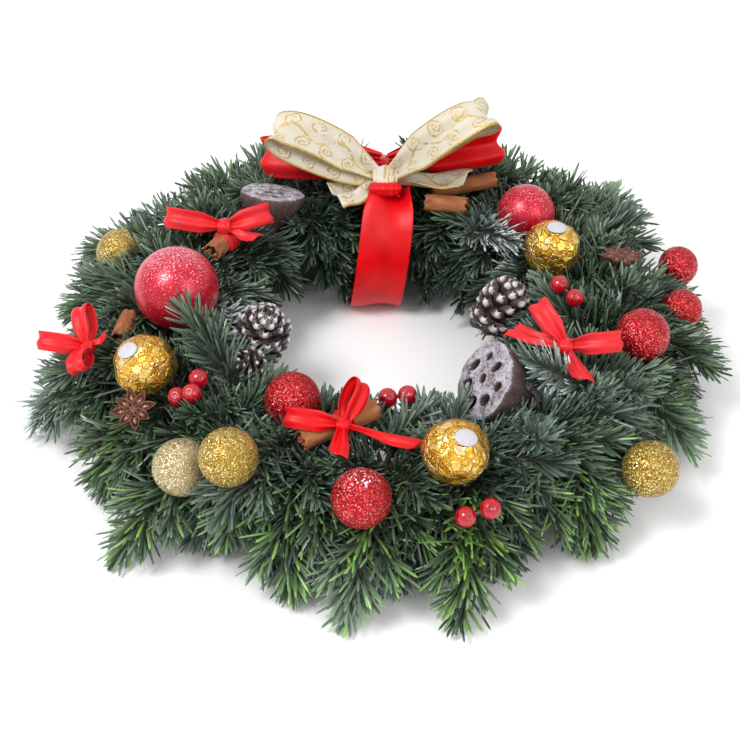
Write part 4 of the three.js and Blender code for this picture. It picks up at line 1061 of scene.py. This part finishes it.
class Ribbon(Shell):
    """Lengths of one ribbon, which adds up how long it is when it is laid flat."""

    def __init__(self, wide, thick=0.4, wired=0.0):
        super().__init__()
        self.wide, self.thick, self.wired = wide, thick, wired
        self.flat_length = 0.0

    def lay(self, line, across, share=1.0, folds=2.5, phase=0.0, cut=0.0, dust=0.0, columns=27):
        """Lays a length along a line. across is the way of its width, and share how much of its width
        it spans at each point, with the rest taken up in folds. A cut end slants."""
        ways = tangents(line)
        across = np.broadcast_to(np.asarray(across, float), line.shape)
        across = unit(across - ways * (across * ways).sum(axis=1, keepdims=True))
        normal = np.cross(ways, across)[:, None]
        share = np.broadcast_to(np.asarray(share, float), len(line))[:, None]
        u = np.linspace(-0.5, 0.5, columns)[None, :]
        span = self.wide * share
        depth = span * np.sqrt(4 * (1 / share - 1)) / (2 * np.pi * folds)
        waves = depth * np.sin(2 * np.pi * folds * u + phase)
        points = line[:, None] + across[:, None] * (span * u)[..., None] + normal * waves[..., None]
        end = smooth_step(0.6, 1, np.linspace(0, 1, len(line)))[:, None]
        points = points + ways[:, None] * (cut * self.wide * end * u)[..., None]
        wire = self.wired * np.exp(-(((0.5 - np.abs(u)) / 0.035) ** 2))
        half = (self.thick / 2 + wire + 0 * waves)[..., None]
        closed, faces = slab(points + normal * half, points - normal * half)
        lengths = line_lengths(line)
        along = (self.flat_length + lengths)[:, None] / PAINT_LENGTH + 0 * u
        paint = np.stack([u + 0.5 + 0 * along, along, dust + 0 * along], axis=-1).reshape(-1, 3)
        self.add(closed, faces, 0, np.concatenate([paint, paint]))
        self.flat_length += lengths[-1]

    def loop(self, place, way, over, length, height, share=1.0, turned_over=None, **settings):
        """A drop-shaped loop out from its root, with its width's direction near over, and near
        turned_over once the ribbon is on its way back."""
        x = unit(way)
        z = unit(np.array(over, float) - x * (x @ over))
        y = np.cross(z, x)
        a = np.linspace(0, 2 * np.pi, 57)[:, None]
        out = length * (1 - np.cos(a)) / 2
        line = place + x * out + y * (height / 1.5 * np.sin(a) * np.sin(a / 2))
        if turned_over is not None:
            back = smooth_step(0.55 * np.pi, 1.35 * np.pi, a)
            z = z * (1 - back) + unit(turned_over) * back
        open_to = 0.32 + 0.68 * np.minimum(1, out[:, 0] / (0.4 * length))
        self.lay(line, z, share * open_to, **settings)

    def tail(self, place, way, over, length, lift=1.2, **settings):
        """A loose end that widens from the knot, waves a little and is cut on a slant."""
        x = unit(way)
        z = unit(np.array(over, float) - x * (x @ over))
        s = np.linspace(0, 1, 25)[:, None]
        line = place + x * (0.92 * length * s) + z * (lift * np.sin(2.6 * np.pi * s) * s)
        share = 0.42 + 0.5 * smooth_step(0, 0.8, s[:, 0])
        self.lay(line, np.cross(z, x), share, cut=0.16 * length / self.wide, **settings)

    def knot(self, place, half, turn, pleats, dust=0.0):
        """A gathered knot: a soft block with pleats that run over it."""
        ways, faces = ball_points(5)
        block = np.sign(ways) * np.abs(ways) ** 0.75
        block = block * (1 + 0.05 * np.cos(pleats * np.arcsin(ways[:, 0])))[:, None]
        across, along = ways[:, 0] * 0.5 + 0.5, ways[:, 1] / PAINT_LENGTH
        paint = np.stack([across, along, 0 * across + dust], axis=1)
        self.add(place + (block * half) @ turn, faces, 0, paint)

    def finish(self, name, material, slot, node, rests_on, held, flat_width=None):
        piece = make_piece(name, self, [material, WIRE], [node])
        return piece


def band_line():
    """The middle of the big ribbon, a little inside the outline that it fills."""
    t = np.linspace(0, 1, 16, endpoint=False)[:, None]
    path = []
    for a, b, c, d in np.array(BAND_PATH, float):
        path.extend((1 - t) ** 3 * a + 3 * t * (1 - t) ** 2 * b + 3 * t**2 * (1 - t) * c + t**3 * d)
    path = np.array([*path, BAND_PATH[-1][-1]])
    middle = np.array([BAND["middle"], BAND["top"] / 2])
    inset = (48.2 / 48.5, 32.2 / 32.5)  # 0.3 mm off its half-width and half-height
    path = middle + (path - middle) * inset
    slant = BAND["slant"] * (path[:, 1] - BAND["top"] / 2)
    return np.stack([slant, path[:, 0], path[:, 1]], axis=1)


def ribbon_band(satin):
    ribbon = Ribbon(BAND["wide"])
    line = band_line()
    near_bow = np.exp(-(((line[:, 1] - 78) / 9) ** 2)) * smooth_step(50, 64, line[:, 2])
    on_table = 1 - smooth_step(0.5, 6, line[:, 2])
    share = 0.99 - 0.2 * near_bow + 0.0099 * on_table
    ribbon.lay(line, (1, 0, 0), share, folds=1, phase=0.6, columns=41)
    return ribbon.finish("satin_band", satin, "red_satin", "ribbon_band", ["straw_base"], "stretched")


def big_red_bow(satin):
    ribbon = Ribbon(24)
    left, right = KNOT + (-2, 28, -0.1), KNOT + (2, 28, -0.1)
    ribbon.loop(left, (-1, 0, 0.03), (0, 0.3, 0.95), 63, 12, 0.875, folds=1.5, dust=0.12)
    ribbon.loop(right, (0.985, 0, 0.17), (-0.1, 0.3, 0.95), 60, 11, 0.85, folds=1.5, phase=1.0)
    y = np.linspace(STRAP["back"], STRAP["front"], 30)
    strap = np.stack([KNOT[0] + 0 * y, y, STRAP["low"] + 0.45 + 0 * y], axis=1)
    ribbon.lay(strap, (1, 0, 0), 0.62, folds=3.5, phase=0.4)
    ribbon.knot(KNOT + (0, 0.6, -0.6), (8.3, 4.2, 3.4), np.eye(3), 17)
    return ribbon.finish("satin_bow_big", satin, "red_satin", "bow_big_red", ["satin_band"], "folded")


def big_cream_bow(cream):
    ribbon = Ribbon(CREAM_WIDE, thick=0.45, wired=0.3)
    root = np.array([KNOT[0], 85.5, CREAM_LOW + 0.45])
    left, right = (-0.9, 0.05, 0.435), (0.79, 0, 0.61)
    ribbon.loop(root, left, (-0.1, -0.97, 0.1), 64, 13, 0.93, (-0.4, -0.8, -0.5), folds=1.5, phase=0.4)
    ribbon.loop(root, right, (0.45, -0.85, -0.5), 65, 17, 0.93, (0.1, -0.9, 0.35), folds=1.5, phase=1.2)
    ribbon.tail(root + (-5.5, -1, 0.2), (-0.8, -0.6, 0), (0, 0, 1), 28, folds=1.5)
    ribbon.tail(root + (1, 0.5, 0.6), (1, -0.06, 0.02), (0, 0, 1), 45, folds=1.5)
    ribbon.knot(root + (0, -2, 3.5), (7, 8, 4), np.eye(3), 13)
    return ribbon.finish("cream_bow", cream, "cream_ribbon", "bow_big_cream", ["satin_bow_big"], "folded")


def small_bow(name, satin, at, wide, span, loops, tails, stick, dust):
    place = polar(at)
    ribbon = Ribbon(wide)
    for i, (way, over, share) in enumerate(loops):
        ribbon.loop(place, way, over, span * share, wide * 0.85, 0.95, folds=1.5, phase=1.3 * i, dust=dust)
    for way, over, length in tails:
        ribbon.tail(place, way, over, length, lift=0.7, folds=1.5, dust=dust)
    turn = basis(UP, np.array(loops[0][0]))
    ribbon.knot(place, (0.36 * wide, 0.4 * wide, 0.33 * wide), turn, 9, dust)
    rests_on = ["straw_base"]
    if stick:
        node, share = stick
        start, end, radius = STICKS[node]
        start, end = polar(start), polar(end)
        middle = start + (end - start) * share
        up = unit(middle - straw_middle(middle))
        along = unit(end - start)
        side = np.cross(along, up)
        a = np.radians(np.linspace(-105, 105, 31))[:, None]
        arc = middle + (radius + 0.75) * (np.cos(a) * up + np.sin(a) * side)
        ribbon.lay(arc, along, 0.62, folds=2.5, dust=dust)
        rests_on = [node.replace("cinnamon", "bark")]
    else:
        ribbon.add_pick(place, 1)
    flat_width = max(wide, LEAST_SHEET)
    ribbon.finish("satin_" + name, satin, "red_satin", name, rests_on, "folded", flat_width)


def straw_base():
    """Straw bound with green tape and thin wire, flattened where it lies."""
    rows, columns, windings = 360, 44, 52
    a = 2 * np.pi * np.arange(rows + 1)[:, None] / rows
    b = 2 * np.pi * np.arange(columns)[None, :] / columns
    tape = np.mod(windings * a / (2 * np.pi) + b / (2 * np.pi), 1)
    lumps = 0.35 * np.sin(9 * a + 2 * b) + 0.3 * np.sin(23 * a - b)
    thick = RING["thick"] - 0.7 + 0.35 * tape + lumps
    out = RING["reach"] + thick * np.cos(b)
    height = np.maximum(RING["middle"] + thick * np.sin(b), 0)
    points = np.stack([out * np.cos(a), out * np.sin(a), height], axis=-1)
    faces = grid_faces(rows + 1, columns, closed=True)
    faces = [tuple(i % (rows * columns) for i in face) for face in faces]
    shell = Shell()
    shell.add(points[:-1], faces)
    turns, steps = 34, 26
    t = np.linspace(0, 2 * np.pi, turns * steps)
    out = RING["reach"] + (RING["thick"] + 0.1) * np.cos(turns * t)
    height = np.maximum(RING["middle"] + (RING["thick"] + 0.1) * np.sin(turns * t), 0.45)
    wire = np.stack([out * np.cos(t), out * np.sin(t), height], axis=1)
    shell.add(*tube(wire, [0.4] * len(wire), 6), 1)
    return make_piece("straw_base", shell, [tape_look(), WIRE], ["straw_ring"])


SATIN = satin_look("red_satin")
CREAM = cream_look()

straw_base()
ribbon_band(SATIN)
big_red_bow(SATIN)
big_cream_bow(CREAM)
for node, bow in BOWS.items():
    small_bow(node, SATIN, **bow, dust=BOW_DUST[node])


# ---------------------------------------------------------------- fir sprays


def needle_look(name, dark, light, lime_highlight_colour, gloss):
    """Red paint is each needle's own tone, with painted shade deep in the wreath and at its root and painted
    light by how its face turns, green how much snow lies on it, blue a painted lime highlight.
    """
    look = Look(name, roughness=gloss, specular_ior_level=0.5)
    green = look.mix(look.paint["Red"], dark, light)
    green = look.mix(look.paint["Blue"], green, lime_highlight_colour)
    hazy = look.mix(look.times(look.paint["Green"], 0.4), green, (0.36, 0.44, 0.44))
    grain = look.noise(0.8, detail=3, roughness=0.6)
    powder = look.above(look.add(look.paint["Green"], look.times(grain, 0.7)), 0.93, 0.06)
    look.set(base_color=look.mix(look.times(powder, 0.85), hazy, (0.74, 0.79, 0.82)))
    return look.material


FIR = [
    needle_look("fir_upper", (0.003, 0.012, 0.005), (0.21, 0.32, 0.20), (0.26, 0.52, 0.08), 0.32),
    needle_look("fir_under", (0.02, 0.055, 0.03), (0.30, 0.40, 0.31), (0.38, 0.66, 0.16), 0.5),
    # Twig bark: a dark greenish bark, kept darker still as painted shade in the gaps round the twigs.
    mottled_look("twig_bark_with_painted_shade", 1.5, (0.016, 0.017, 0.009), (0.06, 0.048, 0.028), 0.5, 0.1, roughness=0.8),
]


class Spray(Shell):
    """Twigs and needles of one bunch."""

    def __init__(self, dice, obstacles):
        super().__init__()
        self.dice, self.obstacles = dice, obstacles
        self.tone = 0.33 + 0.08 * dice.normal()


def out_of_bounds(p, room):
    """Whether a point is in the surface, the straw or the open middle."""
    away = math.hypot(p[0], p[1])
    straw = math.hypot(away - RING["reach"], p[2] - RING["middle"]) - RING["thick"]
    return away < HOLE + room or p[2] < room + SURFACE_GAP or straw < room


def clear_line(line, obstacles, free=3):
    """The line as far as it goes without entering an ornament, the straw or the surface."""
    lengths = line_lengths(line)
    for i in range(1, len(line)):
        if lengths[i] < free:
            continue
        a, b = Vector(line[i - 1]), Vector(line[i])
        near = obstacles.find_nearest(b, 2)
        if near[0] is not None or out_of_bounds(b, 1) or obstacles.ray_cast(a, b - a, (b - a).length)[0]:
            return line[:i]
    return line


def furthest(ways, obstacles):
    """The longest clear line of a few that lie side by side."""
    lines = [clear_line(curve_through(way, 10), obstacles) for way in ways]
    best = lines[0]
    for line in lines[1:]:
        if line_lengths(line)[-1] > line_lengths(best)[-1] + 4:
            best = line
    return best


def snow_at(points):
    """How thickly snow was dusted at each point, from 0 to 1."""
    thick = np.zeros(len(points))
    for bearing, reach, height, spread, amount in SNOW:
        away = np.linalg.norm(points - polar((bearing, reach, height)), axis=1)
        thick = np.maximum(thick, amount * np.exp(-((away / spread) ** 2)))
    return thick


def painted_depth_shade(points):
    """Lower for places deep in the wreath, low down and away from its outer rim: painted shade there."""
    reach = np.hypot(points[:, 0], points[:, 1])
    high = smooth_step(26, 52, points[:, 2])
    return 0.3 + 0.7 * np.maximum(high, smooth_step(124, 158, reach))


# Corners of a needle, two wide places between its root and tip, and its faces: upper ones, then lower.
NEEDLE_FACES = [
    (0, 3, 2), (0, 1, 3), (0, 2, 1),
    (2, 3, 6, 5), (3, 1, 4, 6), (1, 2, 5, 4),
    (5, 6, 7), (6, 4, 7), (4, 5, 7),
]
NEEDLE_KINDS = [0, 0, 1] * 3
NEEDLE_SHARES = np.array([0.0, 0.35, 0.35, 0.4, 0.85, 0.85, 0.9, 1.0])
NEEDLE_CORNERS = len(NEEDLE_SHARES)


def grow_needles(spray, line, size=1.0, lime_highlight=0.0):
    """Needles all round a twig, longest at its sides, closer to it on top and towards its tip."""
    lengths = line_lengths(line)
    dice = spray.dice
    first = min(7, lengths[-1] / 4)
    count = int((lengths[-1] - first) / NEEDLE["pitch"])
    at = first + (lengths[-1] - first) * (np.arange(count) + dice.random(count)) / count
    base = points_at(line, lengths, at)
    along = unit(points_at(line, lengths, at + 1) - points_at(line, lengths, at - 1))
    up = unit(UP - along * along[:, 2:3])
    side = np.cross(along, up)
    turn = np.arange(count) * GOLDEN + 0.4 * dice.random(count)
    turn = turn - 0.4 * np.sin(2 * turn)  # a little fuller at the sides
    out = up * np.cos(turn)[:, None] + side * np.sin(turn)[:, None]
    to_tip = np.clip((lengths[-1] - at) / 14, 0, 1)
    flank = np.abs(np.sin(turn))
    lean = np.radians((36 + 25 * flank) * (0.4 + 0.6 * to_tip) + 6 * dice.normal(size=count))
    way = unit(along * np.cos(lean)[:, None] + out * np.sin(lean)[:, None])
    length = NEEDLE["length"] * size * (0.74 + 0.26 * flank + 0.09 * dice.normal(size=count))
    length = np.clip(length * (0.66 + 0.34 * to_tip), 6, 19)
    keep = np.ones(count, bool)
    for i in range(count):
        start = Vector(base[i] + way[i])
        hit = spray.obstacles.ray_cast(start, Vector(way[i]), length[i])
        if hit[0] is not None:
            length[i] = hit[3] - 1
        while length[i] >= NEEDLE["least"] and out_of_bounds(base[i] + way[i] * length[i], 0.8):
            length[i] -= 1.5
        keep[i] = length[i] >= NEEDLE["least"]
    base, way, along, up, out, length = (x[keep] for x in (base, way, along, up, out, length))
    count = len(base)
    face_up = up * 0.8 + out * 0.45 + 0.34 * dice.normal(size=(count, 3))
    face_up = unit(face_up - way * (face_up * way).sum(1, keepdims=True))
    across = np.cross(way, face_up) * NEEDLE["width"] / 2
    bend = (0.8 * along + 0.7 * up) * (length * dice.uniform(0.5, 1.5, count))[:, None]
    bend[:, 2] = np.maximum(bend[:, 2], 0)
    thick = face_up * NEEDLE["thick"]
    step = length[:, None] * way
    low, high = base + 0.42 * step + 0.03 * bend, base + 0.9 * step + 0.135 * bend
    corners = [
        base, low - across, low + across, low + thick,
        high - 0.8 * across, high + 0.8 * across, high + 0.7 * thick, base + step + 0.165 * bend,
    ]
    points = np.stack(corners, axis=1).reshape(-1, 3)
    faces = [[i + NEEDLE_CORNERS * k for i in face] for k in range(count) for face in NEEDLE_FACES]
    paint = np.zeros((count, NEEDLE_CORNERS, 3))
    # Tone: the bunch's and the needle's own at random, lighter where its face turns up and darker where it
    # turns down, as painted light and shade.
    tone = spray.tone + 0.16 * dice.normal() + 0.26 * dice.normal(size=count) + 0.1 * (face_up @ UP)
    # Red paint: that tone, darker deep in the wreath and towards the needle's root, as painted shade.
    paint[:, :, 0] = (np.clip(tone, 0.03, 1) * painted_depth_shade(base))[:, None] * (0.1 + 0.9 * NEEDLE_SHARES)
    paint[:, :, 1] = snow_at(points).reshape(count, NEEDLE_CORNERS) * (0.35 + 0.65 * NEEDLE_SHARES)
    # Blue paint: a painted lime highlight, towards the needle's tip.
    paint[:, :, 2] = np.minimum(4 * lime_highlight * dice.random(count) ** 4, 1)[:, None] * NEEDLE_SHARES
    spray.add(points, faces, NEEDLE_KINDS * count, paint.reshape(-1, 3))


def grow_twig(spray, line, size=1.0, lime_highlight=0.0):
    """A thin tapering twig with its needles."""
    if line_lengths(line)[-1] < 8:
        return
    radii = np.linspace(TWIG["root"], TWIG["tip"], len(line))
    spray.add(*tube(line, radii, 5), 2, (0.5, 0, 0))
    grow_needles(spray, line, size, lime_highlight)


def grow_branch(spray, ways, sides, size=1.0, lime_highlight=0.0):
    """A spray: the furthest of its ways, with side twigs given as (share, angle, length)."""
    line = furthest(ways, spray.obstacles)
    lengths = line_lengths(line)
    grow_twig(spray, line, size, lime_highlight)
    if lengths[-1] < 25:
        return
    for share, angle, length in sides:
        at = share * lengths[-1]
        start, ahead = points_at(line, lengths, at), points_at(line, lengths, at + 2)
        way = Vector(ahead - start).normalized()
        options = []
        for shift in (0, 12, -12):
            turned_way = np.array(Matrix.Rotation(math.radians(angle + shift), 3, "Z") @ way)
            middle = start + turned_way * length / 2
            options.append([start, middle, start + (turned_way - 0.12 * UP) * length])
        grow_twig(spray, furthest(options, spray.obstacles), size, lime_highlight)


def bunch_ways(at, points, shifts=(0, 3, -3, 6, -6)):
    """A few ways from the bound butt outwards, side by side."""
    butt = polar((at, RING["reach"], BUTT_HEIGHT))
    ways = []
    for shift in shifts:
        spread = [polar((b + shift * (i + 1) / len(points), r, h)) for i, (b, r, h) in enumerate(points)]
        ways.append([butt, *spread])
    return ways


def fir_bunch(at, obstacles):
    bearing, reach, height = BUNCHES[at]
    spray = Spray(np.random.default_rng(100 + at), obstacles)
    turn = bearing - at
    top = BUTT_HEIGHT
    front = max(0.0, -math.sin(math.radians(bearing)))
    # A painted lime highlight, strongest on the low sprays at the front along the lower rim, slight
    # elsewhere.
    lime_highlight = 0.35 * front if height < 12 else 0.1

    def outward(side, shorter, higher):
        tip = reach - shorter
        return [
            (at + 0.3 * turn + 0.3 * side, 124, top + 0.4 * higher),
            (at + 0.7 * turn + 0.7 * side, (124 + tip) / 2, (top + height + higher) / 2 + 4),
            (bearing + side, tip - 11, height + 1 + higher),
        ]

    apart = 14 * front  # the long sprays at the front stand out like fingers
    sides = [
        (0.4, 40, 30 - 6 * front),
        (0.48, -40, 28 - 6 * front),
        (0.66, 38, 20 - 7 * front),
        (0.74, -38, 16 - 5 * front),
    ]
    grow_branch(spray, bunch_ways(at, outward(0, 0, 0)), sides, lime_highlight=lime_highlight)
    grow_branch(spray, bunch_ways(at, outward(9, 20 + apart, 8)), sides[:2], lime_highlight=lime_highlight / 2)
    grow_branch(spray, bunch_ways(at, outward(-8, 24 + apart, 14)), sides[1:3])
    grow_branch(spray, bunch_ways(at, [(at + 4, 118, 48), (at + 8, 134, 50)]), sides[:1], 0.95)
    grow_branch(spray, bunch_ways(at, [(at - 2, 112, 50), (at - 4, 122, 57)]), [], 0.9)
    grow_branch(spray, bunch_ways(at, [(at + 3, 84, top), (at + 7, 62, 27)]), [(0.5, 35, 18)], 0.9)
    grow_branch(spray, bunch_ways(at, [(at - 4, 86, top + 6), (at - 8, 66, 42)]), [(0.5, -35, 16)], 0.85)
    grow_branch(spray, bunch_ways(at, [(at + 1, 80, top), (at - 2, 64, 14)]), [], 0.8)
    grow_branch(spray, bunch_ways(at, [(at + 1, 92, 48), (at + 9, 80, 52)]), [], 0.85)
    for aside, near in ((13, 100), (-11, 92), (11, 116), (-9, 110)):
        over = [(at + 0.4 * aside, (RING["reach"] + near) / 2, 47), (at + aside, near, 45)]
        grow_branch(spray, bunch_ways(at, over), [], 0.8)
    for points, twigs in FEATURES.get(at, []):
        grow_branch(spray, bunch_ways(at, points, (0, 2, -2)), twigs)
    close = [(at + 2, 123, 36), (at + 3, 134, 22), (at + 3, 138, 8)]
    grow_branch(spray, bunch_ways(at, close), [(0.6, 50, 18), (0.7, -50, 18)])
    low = [(at + 5, 119, top), (at + 9, 134, 29), (at + 11, 143 - apart, 13)]
    grow_branch(spray, bunch_ways(at, low), [(0.6, -40, 16)], lime_highlight=lime_highlight)
    low = [(at - 3, 119, top), (at - 2, 133, 25), (at - 2, 139 - apart, 9)]
    grow_branch(spray, bunch_ways(at, low), [(0.6, 40, 16)], lime_highlight=lime_highlight)
    node = f"fir_bunch_{at:03d}"
    make_piece("spray_" + node[4:], spray, FIR, [node], smooth=False, closed_up=True)


def obstacle_tree():
    """Everything that fir grows round, in millimetres round the ring's middle."""
    points, faces = [], []
    for name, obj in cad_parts.items():
        if name.startswith("fir_") or name == "straw_ring":
            continue
        start = len(points)
        points.extend((Vector(v.co) - MIDDLE) / MM for v in obj.data.vertices)
        faces.extend([start + i for i in face.vertices] for face in obj.data.polygons)
    return BVHTree.FromPolygons(points, faces)


obstacles = obstacle_tree()
for at in BUNCHES:
    fir_bunch(at, obstacles)


# ---------------------------------------------------------------- light, floor and camera


def add_floor():
    look = Look("floor_white", roughness=0.6, specular_ior_level=0.1)
    look.set(base_color=look.ramp(look.noise(900), (0.0, (0.90, 0.90, 0.90)), (1.0, (0.93, 0.93, 0.93))))
    half = 4.0
    corners = [(-half, -half, 0), (half, -half, 0), (half, half, 0), (-half, half, 0)]
    mesh = bpy.data.meshes.new("floor")
    mesh.from_pydata(corners, [], [(0, 1, 2, 3)])
    mesh.materials.append(look.material)
    floor = bpy.data.objects.new("floor", mesh)
    floor.location.z = -0.0005
    bpy.context.scene.collection.objects.link(floor)


def add_light(name, place, size, power):
    data = bpy.data.lights.new(name, "AREA")
    data.shape = "DISK"
    data.size = size
    data.energy = power
    light = bpy.data.objects.new(name, data)
    light.location = place
    light.rotation_euler = (-Vector(place)).to_track_quat("-Z", "Y").to_euler()
    bpy.context.scene.collection.objects.link(light)


def add_world():
    world = bpy.data.worlds.new("studio")
    world.use_nodes = True
    world.node_tree.nodes["Background"].inputs["Color"].default_value = (1, 1, 1, 1)
    world.node_tree.nodes["Background"].inputs["Strength"].default_value = 0.9
    bpy.context.scene.world = world


def add_camera():
    """Looks down at 40 degrees over the front, as the photograph does."""
    data = bpy.data.cameras.new("camera")
    data.sensor_width = 36
    data.lens = 66.06
    camera = bpy.data.objects.new("camera", data)
    camera.location = Vector((-6, -526.2, 450)) * MM + MIDDLE
    camera.rotation_euler = (math.radians(50), 0, 0)
    bpy.context.scene.collection.objects.link(camera)
    bpy.context.scene.camera = camera


add_floor()
add_world()
add_light("key", (-0.7, -0.5, 1.3), 0.6, 16)
add_light("fill", (0.9, -0.9, 0.9), 1.0, 6)
add_camera()
bpy.context.scene.view_settings.view_transform = "Standard"
